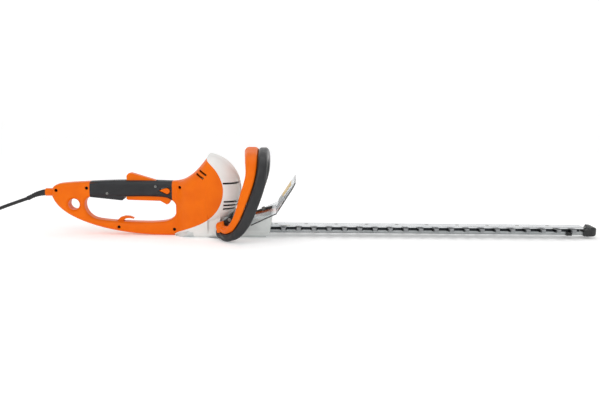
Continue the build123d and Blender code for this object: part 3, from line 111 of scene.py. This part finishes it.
@dataclass(frozen=True)
class Finish:
    """What a real surface is made of and how it was finished.

    Attributes:
        colour: sRGB hex of the clean surface.
        shade: sRGB hex of its darker mottling.
        roughness: lowest and highest gloss roughness.
        metallic: 1 for bare metal.
        grain_mm: size of the moulded or ground grain.
        grain_depth_mm: how deep the grain is.
        mottle_mm: size of the colour and gloss variation.
        lines: direction of brushing or grinding lines.
        coat: clear-coat weight.
        painted_edge_highlight: whether convex edges are brightened by a painted highlight.
        specular: strength of the mirror-like part of a non-metal's gloss.
        edge_mm: radius by which light sees sharp edges as broken.
    """

    colour: str
    shade: str
    roughness: tuple[float, float]
    metallic: float = 0.0
    grain_mm: float = 0.5
    grain_depth_mm: float = 0.01
    mottle_mm: float = 40.0
    lines: Axis = Axis.NONE
    coat: float = 0.0
    painted_edge_highlight: bool = False
    edge_mm: float = 0.5
    specular: float = 0.5


class MaterialMaker:
    """Builds one procedural material: coordinates, mottling, gloss variation and fine relief."""

    def __init__(self, name: str, finish: Finish) -> None:
        self.finish = finish
        self.material = bpy.data.materials.new(name)
        self.material.use_nodes = True
        self.tree = self.material.node_tree
        self.shader = self.tree.nodes["Principled BSDF"]
        self.coordinates = self.tree.nodes.new("ShaderNodeTexCoord")

    def node(self, kind: str, **values: object) -> bpy.types.Node:
        """Add a node and set its own properties.

        Args:
            kind: the node's type.
            values: its properties by name.

        Returns:
            The new node.
        """
        made = self.tree.nodes.new(kind)
        for key, value in values.items():
            setattr(made, key, value)
        return made

    def link(self, start: bpy.types.NodeSocket, end: bpy.types.NodeSocket) -> None:
        """Join two sockets."""
        self.tree.links.new(start, end)

    def noise(
        self, size_mm: float, detail: float, stretch: Sequence[float] = (1, 1, 1)
    ) -> bpy.types.NodeSocket:
        """Noise on the piece's own coordinates.

        Args:
            size_mm: width of its blotches.
            detail: octaves of finer noise.
            stretch: scale along each axis, below 1 where the noise is drawn out into lines.

        Returns:
            The noise value's socket.
        """
        mapping = self.node("ShaderNodeMapping")
        mapping.inputs["Scale"].default_value = stretch
        texture = self.node("ShaderNodeTexNoise")
        texture.inputs["Scale"].default_value = 1.0 / (size_mm * MM)
        texture.inputs["Detail"].default_value = detail
        self.link(self.coordinates.outputs["Object"], mapping.inputs["Vector"])
        self.link(mapping.outputs["Vector"], texture.inputs["Vector"])
        return texture.outputs["Fac"]

    def spread(self, value: bpy.types.NodeSocket, low: float, high: float) -> bpy.types.NodeSocket:
        """Spread a noise value, over low to high.

        Args:
            value: noise, which lies mostly within NOISE_SPAN.
            low: result at the bottom of that span.
            high: result at its top.

        Returns:
            The ranged value's socket.
        """
        ranged = self.node("ShaderNodeMapRange")
        ranged.inputs["From Min"].default_value = NOISE_SPAN[0]
        ranged.inputs["From Max"].default_value = NOISE_SPAN[1]
        ranged.inputs["To Min"].default_value = low
        ranged.inputs["To Max"].default_value = high
        self.link(value, ranged.inputs["Value"])
        return ranged.outputs["Result"]

    def mix(self, share: bpy.types.NodeSocket, first: object, second: object) -> bpy.types.NodeSocket:
        """Mix two colours.

        Args:
            share: how much of the second one shows.
            first: a colour or a socket.
            second: a colour or a socket.

        Returns:
            The mixed colour's socket.
        """
        mixer = self.node("ShaderNodeMix", data_type="RGBA")
        self.link(share, mixer.inputs["Factor"])
        for socket, colour in ((mixer.inputs[6], first), (mixer.inputs[7], second)):
            if isinstance(colour, bpy.types.NodeSocket):
                self.link(colour, socket)
            else:
                socket.default_value = colour
        return mixer.outputs[2]

    def build(self) -> bpy.types.Material:
        """Wire the whole material.

        Returns:
            The finished material.
        """
        finish = self.finish
        self.shader.inputs["Metallic"].default_value = finish.metallic
        self.shader.inputs["Coat Weight"].default_value = finish.coat
        self.shader.inputs["Specular IOR Level"].default_value = finish.specular
        mottle = self.noise(finish.mottle_mm, 4.0)
        colour = self.mix(self.spread(mottle, 0.0, 1.0), linear(finish.colour), linear(finish.shade))
        # painted highlight: convex edges, found by pointiness, are mixed towards a near-white
        if finish.painted_edge_highlight:
            geometry = self.node("ShaderNodeNewGeometry")
            edge = self.node("ShaderNodeMapRange")
            edge.inputs["From Min"].default_value = EDGE_HIGHLIGHT_SPAN[0]
            edge.inputs["From Max"].default_value = EDGE_HIGHLIGHT_SPAN[1]
            edge.inputs["To Max"].default_value = EDGE_HIGHLIGHT_STRENGTH
            self.link(geometry.outputs["Pointiness"], edge.inputs["Value"])
            colour = self.mix(edge.outputs["Result"], colour, linear(EDGE_HIGHLIGHT_COLOUR))
        self.link(colour, self.shader.inputs["Base Color"])
        gloss = self.noise(finish.grain_mm * 6.0, 3.0, finish.lines.value)
        self.link(self.spread(gloss, *finish.roughness), self.shader.inputs["Roughness"])
        bump = self.node("ShaderNodeBump")
        bump.inputs["Strength"].default_value = BUMP_STRENGTH
        bump.inputs["Distance"].default_value = finish.grain_depth_mm * MM
        self.link(self.noise(finish.grain_mm, 2.0, finish.lines.value), bump.inputs["Height"])
        rounded = self.node("ShaderNodeBevel", samples=4)
        rounded.inputs["Radius"].default_value = finish.edge_mm * MM
        self.link(rounded.outputs["Normal"], bump.inputs["Normal"])
        self.link(bump.outputs["Normal"], self.shader.inputs["Normal"])
        return self.material


FINISHES: dict[str, Finish] = {
    # glass-filled nylon handle shells, lightly spark-eroded
    "orange_nylon": Finish(
        "EC6E00", "E56600", (0.30, 0.40), grain_mm=0.6, grain_depth_mm=0.010, specular=0.14
    ),
    # ABS motor cover, smooth
    "white_abs": Finish("E6E6E3", "DFDFDC", (0.34, 0.44), grain_mm=0.7, grain_depth_mm=0.012),
    # soft rubber moulded over the rear grip
    "grip_rubber": Finish(
        "202124", "1A1B1E", (0.40, 0.52), grain_mm=0.8, grain_depth_mm=0.02, specular=0.4
    ),
    # rubberised nylon of the front loop
    "loop_rubber": Finish("17181B", "121316", (0.30, 0.42), grain_mm=0.9, grain_depth_mm=0.012),
    # black nylon of tip guard, brackets and small fittings
    "black_nylon": Finish("131416", "0E0F11", (0.38, 0.52), grain_mm=0.6, grain_depth_mm=0.02),
    # brown-grey nylon rib under the guard
    "rib_nylon": Finish("55514C", "4A4642", (0.45, 0.60), grain_mm=0.6, grain_depth_mm=0.02),
    # die-cast magnesium gear case, painted light grey, with a painted highlight on its convex edges
    "cast_alloy": Finish(
        "C6CBCA", "B6BCBB", (0.38, 0.52), 0.45, grain_mm=1.1, grain_depth_mm=0.03, painted_edge_highlight=True
    ),
    # drawn aluminium rails, polished along their length
    "rail_alloy": Finish("DCDEDF", "CDD0D2", (0.20, 0.34), 1.0, 0.4, 0.008, lines=Axis.ALONG_X),
    # extruded alloy of the lower rail, duller than the polished top one
    "base_alloy": Finish("A4A7A8", "95999A", (0.30, 0.44), 1.0, 0.5, 0.012, lines=Axis.ALONG_X),
    # blackened screws deep in the handle shells
    "black_oxide": Finish("1C1B1B", "131212", (0.35, 0.50), 0.8, 0.4, 0.01, mottle_mm=3.0),
    # turned and ground steel of shafts, gears and rods
    "machined_steel": Finish("B4B6B8", "A2A4A7", (0.22, 0.36), 1.0, 0.3, 0.006, lines=Axis.ALONG_Z),
    # zinc-plated screws
    "zinc": Finish("9A9B98", "838480", (0.30, 0.45), 1.0, 0.4, 0.01, mottle_mm=3.0),
    # oiled electrical steel laminations, their edges stacked along Z
    "laminations": Finish("5A5C60", "44464A", (0.40, 0.55), 0.9, 0.5, 0.05, lines=Axis.ALONG_X),
    # enamelled copper wire
    "copper_wire": Finish("A8562C", "7E3B1C", (0.25, 0.40), 0.9, 0.7, 0.12, lines=Axis.ALONG_Y, coat=0.4),
    # pressed brass of brush holders and commutator bars
    "brass": Finish("B98F4A", "9C7638", (0.28, 0.42), 1.0, 0.5, 0.01),
    # graphite brushes
    "graphite": Finish("2A2A2B", "1C1C1D", (0.50, 0.70), 0.1, 0.3, 0.02),
    # PVC sheath of the mains lead
    "cord_pvc": Finish("101012", "0B0B0D", (0.44, 0.56), grain_mm=0.8, grain_depth_mm=0.02, mottle_mm=25.0),
    # nickel-plated plug pins
    "nickel": Finish("CFCBC0", "BDB8AB", (0.18, 0.30), 1.0, 0.4, 0.005),
}

NODE_FINISHES: dict[str, str] = {
    "handle_shell_right": "orange_nylon",
    "handle_shell_left": "orange_nylon",
    "front_handle_frame": "orange_nylon",
    "switch_bail": "orange_nylon",
    "motor_cover": "white_abs",
    "capacitor": "white_abs",
    "grip_cover_right": "grip_rubber",
    "grip_cover_left": "grip_rubber",
    "front_handle_grip": "loop_rubber",
    "guard_bracket": "rib_nylon",
    "gear_case": "cast_alloy",
    "base_plate": "cast_alloy",
    "motor_end_frame": "cast_alloy",
    "top_rail": "rail_alloy",
    "lower_rail": "base_alloy",
    "trigger": "orange_nylon",
    "lockout_lever": "orange_nylon",
    "cable_hook": "orange_nylon",
    "shell_screws": "black_oxide",
    "stator_core": "laminations",
    "armature": "laminations",
    "stator_windings": "copper_wire",
    "commutator": "brass",
    "brush_holders": "brass",
    "carbon_brushes": "graphite",
    "plug_pins": "nickel",
}
STEEL_NODES = (
    "crank_shaft",
    "crank_gear",
    "crank_bearings",
    "upper_rod",
    "lower_rod",
    "motor_shaft",
    "motor_bearings",
)
SCREW_NODES = (
    "grip_screws",
    "base_screws",
    "rail_screws",
    "rail_nuts",
    "tip_screw",
    "handle_screws",
    "guard_screws",
    "trigger_pin",
    "lever_pin",
    "bail_pins",
)


POLYCARBONATE_IOR = 1.58
# How far from the middle plane a blade's painted spine shade starts to give way to its ground teeth, and
# where the teeth are fully bright.
SPINE_SHADE_FADE = (27.0 * MM, 33.0 * MM)
GROUND_COLOUR = "8E9092"
# Share of the label's height that is grey.
GREY_SHARE = 0.34
LABEL_GREY = "9A9C9B"


def clear_plastic() -> bpy.types.Material:
    """Clear polycarbonate of the hand guard, with faint moulding ripple and handling haze.

    Returns:
        The finished material.
    """
    finish = Finish("F6F9FA", "EDF2F4", (0.03, 0.12), grain_mm=30.0)
    maker = MaterialMaker("clear_polycarbonate", finish)
    material = maker.build()
    maker.shader.inputs["Transmission Weight"].default_value = 1.0
    maker.shader.inputs["IOR"].default_value = POLYCARBONATE_IOR
    return material


def blade_steel() -> bpy.types.Material:
    """Blade steel: painted shade along the spine, where its root edges lie in shade, and ground bright
    towards the tips of the teeth.

    Returns:
        The finished material.
    """
    # the dark spine colour is painted shade; GROUND_COLOUR is the steel's own colour
    finish = Finish("35373A", "2B2D2F", (0.32, 0.48), 1.0, 0.35, 0.01, lines=Axis.ALONG_Y)
    maker = MaterialMaker("blade_steel", finish)
    material = maker.build()
    split = maker.node("ShaderNodeSeparateXYZ")
    maker.link(maker.coordinates.outputs["Object"], split.inputs["Vector"])
    aside = maker.node("ShaderNodeMath", operation="ABSOLUTE")
    maker.link(split.outputs["Y"], aside.inputs[0])
    ground = maker.node("ShaderNodeMapRange")
    ground.inputs["From Min"].default_value = SPINE_SHADE_FADE[0]
    ground.inputs["From Max"].default_value = SPINE_SHADE_FADE[1]
    maker.link(aside.outputs["Value"], ground.inputs["Value"])
    # painted spine shade, blended into the ground teeth by distance from the middle plane
    spine = maker.shader.inputs["Base Color"].links[0].from_socket
    colour = maker.mix(ground.outputs["Result"], spine, linear(GROUND_COLOUR))
    maker.link(colour, maker.shader.inputs["Base Color"])
    return material


def label_film() -> bpy.types.Material:
    """Printed film on the guard: a grey band below and yellow above.

    Returns:
        The finished material.
    """
    finish = Finish("F0C419", "EABB12", (0.30, 0.42), grain_mm=1.5, coat=0.3)
    maker = MaterialMaker("label_film", finish)
    material = maker.build()
    low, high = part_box("guard_label")
    band_top = low[2] + GREY_SHARE * (high[2] - low[2])
    split = maker.node("ShaderNodeSeparateXYZ")
    maker.link(maker.coordinates.outputs["Object"], split.inputs["Vector"])
    below = maker.node("ShaderNodeMath", operation="LESS_THAN")
    below.inputs[1].default_value = band_top
    maker.link(split.outputs["Z"], below.inputs[0])
    yellow = maker.shader.inputs["Base Color"].links[0].from_socket
    colour = maker.mix(below.outputs["Value"], yellow, linear(LABEL_GREY))
    maker.link(colour, maker.shader.inputs["Base Color"])
    return material


class Wardrobe:
    """Keeps each material once and hands it out by the name of its finish."""

    def __init__(self) -> None:
        self.made: dict[str, bpy.types.Material] = {}

    def get(self, finish: str) -> bpy.types.Material:
        """Look up a material.

        Args:
            finish: the finish's name.

        Returns:
            Its material, built on first use.
        """
        if finish not in self.made:
            self.made[finish] = MaterialMaker(finish, FINISHES[finish]).build()
        return self.made[finish]

    def dress(self, node: bpy.types.Object, material: bpy.types.Material) -> None:
        """Give a mechanical node its material and smooth shading broken at its real edges.

        Args:
            node: the node's object.
            material: what it is made of.
        """
        node.data.materials.clear()
        node.data.materials.append(material)
        node.data.polygons.foreach_set("use_smooth", [True] * len(node.data.polygons))
        split = node.modifiers.new("edges", "EDGE_SPLIT")
        split.split_angle = EDGE_ANGLE

    def dress_frame(self) -> None:
        """Dress every mechanical node."""
        special: dict[str, Callable[[], bpy.types.Material]] = {
            "hand_guard": clear_plastic,
            "upper_blade": blade_steel,
            "lower_blade": blade_steel,
            "guard_label": label_film,
        }
        for name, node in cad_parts.items():
            if name in special:
                material = special[name]()
            elif name in STEEL_NODES:
                material = self.get("machined_steel")
            elif name in SCREW_NODES:
                material = self.get("zinc")
            else:
                material = self.get(NODE_FINISHES.get(name, "black_nylon"))
            self.dress(node, material)
            LOG.info("dressed %s in %s", name, material.name)


# ---------------------------------------------------------------- meshes


def mesh_object(name: str, points: Sequence[Vector], faces: Sequence[Sequence[int]]) -> bpy.types.Object:
    """Make a smooth-shaded mesh object at the origin.

    Args:
        name: the object's name.
        points: its vertices in metres.
        faces: vertex numbers of each face.

    Returns:
        The new object.
    """
    mesh = bpy.data.meshes.new(name)
    mesh.from_pydata([tuple(point) for point in points], [], [tuple(face) for face in faces])
    mesh.polygons.foreach_set("use_smooth", [True] * len(mesh.polygons))
    mesh.update()
    made = bpy.data.objects.new(name, mesh)
    bpy.context.scene.collection.objects.link(made)
    return made


def smooth_curve(name: str, points: Sequence[Sequence[float]]) -> bpy.types.Object:
    """Make a curve object with one smooth NURBS spline through its ends.

    Args:
        name: the object's name.
        points: control points in metres.

    Returns:
        The new object.
    """
    data = bpy.data.curves.new(name, "CURVE")
    data.dimensions = "3D"
    data.resolution_u = 8
    spline = data.splines.new("NURBS")
    spline.points.add(len(points) - 1)
    for slot, point in zip(spline.points, points):
        slot.co = (*point, 1.0)
    spline.order_u = 3
    spline.use_endpoint_u = True
    made = bpy.data.objects.new(name, data)
    bpy.context.scene.collection.objects.link(made)
    return made


def sampled(points: Sequence[Sequence[float]]) -> list[Vector]:
    """Follow the smooth line of a route.

    Args:
        points: the route's control points.

    Returns:
        Points along the line.
    """
    curve = smooth_curve("sample", points)
    mesh = bpy.data.meshes.new_from_object(curve)
    line = [vertex.co.copy() for vertex in mesh.vertices]
    bpy.data.objects.remove(curve)
    bpy.data.meshes.remove(mesh)
    return line


@dataclass(frozen=True)
class Section:
    """A rounded cross-section: half width, half height and how square it is (2 is an ellipse)."""

    half_width: float
    half_height: float
    squareness: float = 2.0

    def outline(self, count: int) -> list[tuple[float, float]]:
        """Go round the section.

        Args:
            count: number of points.

        Returns:
            Each point as (across, up).
        """
        ring = []
        for k in range(count):
            angle = 2.0 * math.pi * k / count
            c, s = math.cos(angle), math.sin(angle)
            power = 2.0 / self.squareness
            across = math.copysign(abs(c) ** power, c) * self.half_width
            up = math.copysign(abs(s) ** power, s) * self.half_height
            ring.append((across, up))
        return ring


def loft(
    name: str, line: Sequence[Vector], sections: Sequence[Section], count: int = 40
) -> bpy.types.Object:
    """Skin a row of sections along a line, closed at both ends.

    Args:
        name: the object's name.
        line: centre of each section.
        sections: one section for each point of the line.
        count: points round each section.

    Returns:
        The closed mesh object.
    """
    points: list[Vector] = []
    for k, (centre, section) in enumerate(zip(line, sections)):
        ahead = (line[min(k + 1, len(line) - 1)] - line[max(k - 1, 0)]).normalized()
        side = Vector((0.0, 1.0, 0.0))
        side = (side - ahead * side.dot(ahead)).normalized()
        up = side.cross(ahead)
        points += [centre + side * a + up * b for a, b in section.outline(count)]
    rings = len(sections)
    faces = [
        (r * count + k, r * count + (k + 1) % count, (r + 1) * count + (k + 1) % count, (r + 1) * count + k)
        for r in range(rings - 1)
        for k in range(count)
    ]
    first = list(range(count))
    last = [(rings - 1) * count + k for k in range(count)]
    faces += [tuple(reversed(first)), tuple(last)]
    made = mesh_object(name, points, faces)
    recalculate(made)
    return made


def recalculate(piece: bpy.types.Object) -> None:
    """Turn all of a mesh's faces outward.

    Args:
        piece: the mesh object.
    """
    work = bmesh.new()
    work.from_mesh(piece.data)
    bmesh.ops.recalc_face_normals(work, faces=work.faces)
    work.to_mesh(piece.data)
    work.free()


# ---------------------------------------------------------------- pieces


@dataclass
class Lead:
    """The mains lead: strain relief, cord with its neat turn on the floor, and moulded plug.

    Attributes:
        wardrobe: gives the materials.
        diameter: the cord's thickness.
        length: the cord's real length; not used.
        coil_centre: middle of the loose turn, in X and Y.
        coil_radii: the turn's radius at its start and end.
        coil_steps: control points along the turn.
        coil_start: direction in which the turn starts, in degrees.
        coil_sweep: how far round it goes, in degrees.
        crossing_rise: how much higher the turn starts, where the cord comes down to it.
        rest_gap: gap between the cord and the floor.
        relief_radii: the relief's radius at the handle and at the cord.
        relief_ring: depth of the grooves between its rings.
        relief_collar: how far its end collar stands out.
        ridge_count: finger ridges on the plug.
        ridge_pitch: distance between them.
        ridge_radius: their radius.
    """

    wardrobe: Wardrobe
    diameter: float = 8.0 * MM
    length: float = 0.56
    coil_centre: tuple[float, float] = (-0.684, -0.030)
    coil_radii: tuple[float, float] = (44.0 * MM, 52.0 * MM)
    coil_steps: int = 14
    coil_start: float = 96.0
    coil_sweep: float = 344.0
    crossing_rise: float = 4.0 * MM
    rest_gap: float = 0.3 * MM
    relief_radii: tuple[float, float] = (7.4 * MM, 4.8 * MM)
    relief_ring: float = 0.7 * MM
    relief_collar: float = 0.5 * MM
    ridge_count: int = 5
    ridge_pitch: float = 2.6 * MM
    ridge_radius: float = 0.7 * MM

    def route(self) -> list[tuple[float, float, float]]:
        """Lay out the whole cord, coil and tail included.

        Returns:
            Its control points.
        """
        radius = self.diameter / 2
        start, end = self.coil_radii
        centre_x, centre_y = self.coil_centre
        points = list(CORD_ROUTE)
        for k in range(self.coil_steps + 1):
            share = k / self.coil_steps
            angle = math.radians(self.coil_start + share * self.coil_sweep)
            reach = start + share * (end - start)
            height = radius + (self.crossing_rise if k == 0 else self.rest_gap)
            points.append((centre_x + reach * math.cos(angle), centre_y + reach * math.sin(angle), height))
        low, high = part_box("plug")
        middle_y = (low[1] + high[1]) / 2
        middle_z = (low[2] + high[2]) / 2
        points.append((centre_x, middle_y, radius + 0.5 * MM))
        points.append((high[0] + 12.0 * MM, middle_y, middle_z - 4.0 * MM))
        points.append((high[0] - 1.0 * MM, middle_y, middle_z))
        return points

    def cord(self, on_it: Sequence[bpy.types.Object]) -> None:
        """Make the cord itself.

        Args:
            on_it: the pieces at the cord's far end; not used.
        """
        piece = smooth_curve("mains_cord", self.route())
        piece.data.bevel_depth = self.diameter / 2
        piece.data.bevel_resolution = 6
        piece.data.use_fill_caps = True
        piece.data.materials.append(self.wardrobe.get("cord_pvc"))
        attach(piece, HOUSING)
        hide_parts("power_cord", "cord_coil")
        line = sampled(self.route())
        LOG.info("cord line %.3f m", sum((b - a).length for a, b in zip(line, line[1:])))

    def relief(self) -> None:
        """Tapered rubber relief with a collar and moulded rings."""
        line = sampled(BOOT_LINE)
        steps = len(line) - 1
        thick, thin = self.relief_radii
        sections = []
        for k in range(len(line)):
            share = k / steps
            taper = thick + share * (thin - thick)
            collar = self.relief_collar if share > 0.93 else 0.0
            ring = -self.relief_ring if 0.15 < share < 0.9 and k % 3 == 0 else 0.0
            sections.append(Section(taper + collar + ring, taper + collar + ring))
        piece = loft("strain_relief", line, sections)
        piece.data.materials.append(self.wardrobe.get("cord_pvc"))
        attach(piece, HOUSING)
        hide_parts("cord_boot")
        LOG.info("strain relief, %d faces", len(piece.data.polygons))

    def plug(self) -> bpy.types.Object:
        """Make the moulded plug: soft neck, waisted grip and flat face round the pins.

        Returns:
            The plug.
        """
        low, high = (Vector(corner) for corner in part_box("plug"))
        middle = (low + high) / 2
        half_width = (high.y - low.y) / 2
        half_height = (high.z - low.z) / 2
        profile = [
            # share of length from the neck, share of width, share of height, squareness
            (0.00, 0.30, 0.42, 2.0),
            (0.12, 0.31, 0.44, 2.0),
            (0.30, 0.40, 0.52, 2.2),
            (0.42, 0.62, 0.72, 2.4),
            (0.52, 0.88, 0.92, 2.7),
            (0.60, 0.95, 0.95, 3.0),
            (0.75, 0.90, 0.90, 3.0),
            (0.90, 0.97, 0.97, 3.2),
            (0.97, 0.99, 0.99, 3.2),
            (1.00, 0.94, 0.93, 3.2),
        ]
        line = [Vector((high.x + (low.x - high.x) * row[0], middle.y, middle.z)) for row in profile]
        sections = [Section(half_width * row[1], half_height * row[2], row[3]) for row in profile]
        piece = loft("moulded_plug", line, sections, 48)
        piece.data.materials.append(self.wardrobe.get("cord_pvc"))
        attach(piece, HOUSING)
        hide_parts("plug")
        LOG.info("plug, %d faces", len(piece.data.polygons))
        return piece

    def ridges(self) -> bpy.types.Object:
        """Make the finger ridges on the plug's flank, repeated by geometry nodes.

        Returns:
            The ridges as one plain mesh.
        """
        low, high = (Vector(corner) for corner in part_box("plug"))
        tree = bpy.data.node_groups.new("ridge_row", "GeometryNodeTree")
        tree.interface.new_socket("Geometry", in_out="INPUT", socket_type="NodeSocketGeometry")
        count = tree.interface.new_socket("Count", in_out="INPUT", socket_type="NodeSocketInt")
        radius = tree.interface.new_socket("Radius", in_out="INPUT", socket_type="NodeSocketFloat")
        length = tree.interface.new_socket("Length", in_out="INPUT", socket_type="NodeSocketFloat")
        tree.interface.new_socket("Geometry", in_out="OUTPUT", socket_type="NodeSocketGeometry")
        nodes = {
            "start": tree.nodes.new("NodeGroupInput"),
            "row": tree.nodes.new("GeometryNodeMeshLine"),
            "bar": tree.nodes.new("GeometryNodeMeshCylinder"),
            "place": tree.nodes.new("GeometryNodeInstanceOnPoints"),
            "real": tree.nodes.new("GeometryNodeRealizeInstances"),
            "paint": tree.nodes.new("GeometryNodeSetMaterial"),
            "end": tree.nodes.new("NodeGroupOutput"),
        }
        first = low.x + 0.20 * (high.x - low.x)
        start = (first, low.y + 2.1 * MM, (low.z + high.z) / 2)
        nodes["row"].inputs["Start Location"].default_value = start
        nodes["row"].inputs["Offset"].default_value = (self.ridge_pitch, 0.0, 0.0)
        nodes["bar"].inputs["Vertices"].default_value = 16
        nodes["paint"].inputs["Material"].default_value = self.wardrobe.get("cord_pvc")
        link = tree.links.new
        link(nodes["start"].outputs["Count"], nodes["row"].inputs["Count"])
        link(nodes["start"].outputs["Radius"], nodes["bar"].inputs["Radius"])
        link(nodes["start"].outputs["Length"], nodes["bar"].inputs["Depth"])
        link(nodes["row"].outputs["Mesh"], nodes["place"].inputs["Points"])
        link(nodes["bar"].outputs["Mesh"], nodes["place"].inputs["Instance"])
        link(nodes["place"].outputs["Instances"], nodes["real"].inputs["Geometry"])
        link(nodes["real"].outputs["Geometry"], nodes["paint"].inputs["Geometry"])
        link(nodes["paint"].outputs["Geometry"], nodes["end"].inputs["Geometry"])
        carrier = mesh_object("ridge_carrier", [], [])
        modifier = carrier.modifiers.new("row", "NODES")
        modifier.node_group = tree
        modifier[count.identifier] = self.ridge_count
        modifier[radius.identifier] = self.ridge_radius
        modifier[length.identifier] = 0.45 * (high.z - low.z)
        ready = carrier.evaluated_get(bpy.context.evaluated_depsgraph_get())
        mesh = bpy.data.meshes.new_from_object(ready)
        mesh.name = "plug_ridges"
        bpy.data.objects.remove(carrier)
        piece = bpy.data.objects.new("plug_ridges", mesh)
        bpy.context.scene.collection.objects.link(piece)
        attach(piece, HOUSING)
        LOG.info("plug ridges, %d faces", len(mesh.polygons))
        return piece

    def build(self) -> None:
        """Make the whole lead."""
        self.relief()
        self.cord([self.plug(), self.ridges(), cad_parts["plug_pins"]])


# ---------------------------------------------------------------- stage, light and camera


@dataclass
class Studio:
    """Pale round sweep, soft light and the camera.

    Attributes:
        target: the point that the camera looks at.
        distance: from the camera to that point.
        pitch: how far above the tool the camera stands, as an angle.
        roll: how far the camera leans.
        lens_mm: its focal length.
        sensor_mm: its sensor's width.
        floor_glow: light that the floor gives off itself, so it stays pale.
        sky: strength of the even surroundings.
    """

    target: tuple[float, float, float] = (0.1785, 0.0, 0.0855)
    distance: float = 1.9
    pitch: float = math.radians(9.0)
    roll: float = math.radians(0.47)
    lens_mm: float = 47.9
    sensor_mm: float = 36.0
    floor_glow: float = 0.24
    sky: float = 0.55

    def sweep(self) -> None:
        """Seamless round pale floor that curves up all round."""
        flat, bend, top, sides, steps = 2.6, 0.9, 2.2, 96, 16
        profile = [(0.05, 0.0), (flat, 0.0)]
        for k in range(1, steps + 1):
            angle = math.pi / 2 * k / steps
            profile.append((flat + bend * math.sin(angle), bend - bend * math.cos(angle)))
        profile.append((flat + bend, top))
        turns = [2.0 * math.pi * k / sides for k in range(sides)]
        points = [Vector((r * math.cos(turn), r * math.sin(turn), z)) for r, z in profile for turn in turns]
        faces = [
            (row + k, row + (k + 1) % sides, row + sides + (k + 1) % sides, row + sides + k)
            for row in range(0, (len(profile) - 1) * sides, sides)
            for k in range(sides)
        ]
        faces.append(tuple(range(sides)))
        floor = mesh_object("studio_sweep", points, faces)
        finish = Finish("F4F4F4", "F2F2F2", (0.85, 0.95), grain_mm=2.0, mottle_mm=400.0)
        maker = MaterialMaker("sweep_paper", finish)
        floor.data.materials.append(maker.build())
        maker.shader.inputs["Emission Color"].default_value = (1.0, 1.0, 1.0, 1.0)
        maker.shader.inputs["Emission Strength"].default_value = self.floor_glow

    def light(self, name: str, place: Sequence[float], size: float, watts: float) -> None:
        """Add a square soft box that faces the middle of the tool.

        Args:
            name: the lamp's name.
            place: where it stands.
            size: length of its sides.
            watts: its power.
        """
        data = bpy.data.lights.new(name, "AREA")
        data.size = size
        data.energy = watts
        lamp = bpy.data.objects.new(name, data)
        lamp.location = place
        lamp.rotation_euler = (Vector(self.target) - Vector(place)).to_track_quat("-Z", "Y").to_euler()
        bpy.context.scene.collection.objects.link(lamp)

    def world(self) -> None:
        """Even pale surroundings."""
        world = bpy.data.worlds.new("studio")
        world.use_nodes = True
        background = world.node_tree.nodes["Background"]
        background.inputs["Color"].default_value = (1.0, 1.0, 1.0, 1.0)
        background.inputs["Strength"].default_value = self.sky
        bpy.context.scene.world = world
        bpy.context.scene.view_settings.view_transform = "Standard"

    def camera(self) -> None:
        """Camera a little above the tool, square to its side, with a slight roll."""
        data = bpy.data.cameras.new("camera")
        data.lens = self.lens_mm
        data.sensor_width = self.sensor_mm
        data.clip_start = 0.01
        camera = bpy.data.objects.new("camera", data)
        away = Vector((0.0, -math.cos(self.pitch), math.sin(self.pitch)))
        turn = Matrix.Rotation(math.pi / 2 - self.pitch, 4, "X") @ Matrix.Rotation(self.roll, 4, "Z")
        camera.matrix_world = Matrix.Translation(Vector(self.target) + away * self.distance) @ turn
        bpy.context.scene.collection.objects.link(camera)
        bpy.context.scene.camera = camera

    def build(self) -> None:
        """Set up everything that isn't the object."""
        self.sweep()
        self.world()
        self.light("key", (-0.6, -1.6, 2.2), 1.6, 14.0)
        self.light("fill", (1.6, -1.2, 1.4), 1.4, 4.0)
        self.light("top", (0.2, 0.4, 2.4), 2.0, 10.0)
        self.camera()


def main() -> None:
    """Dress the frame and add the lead."""
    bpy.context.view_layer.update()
    wardrobe = Wardrobe()
    wardrobe.dress_frame()
    Lead(wardrobe).build()
    Studio().build()


if __name__ == "__main__":
    main()
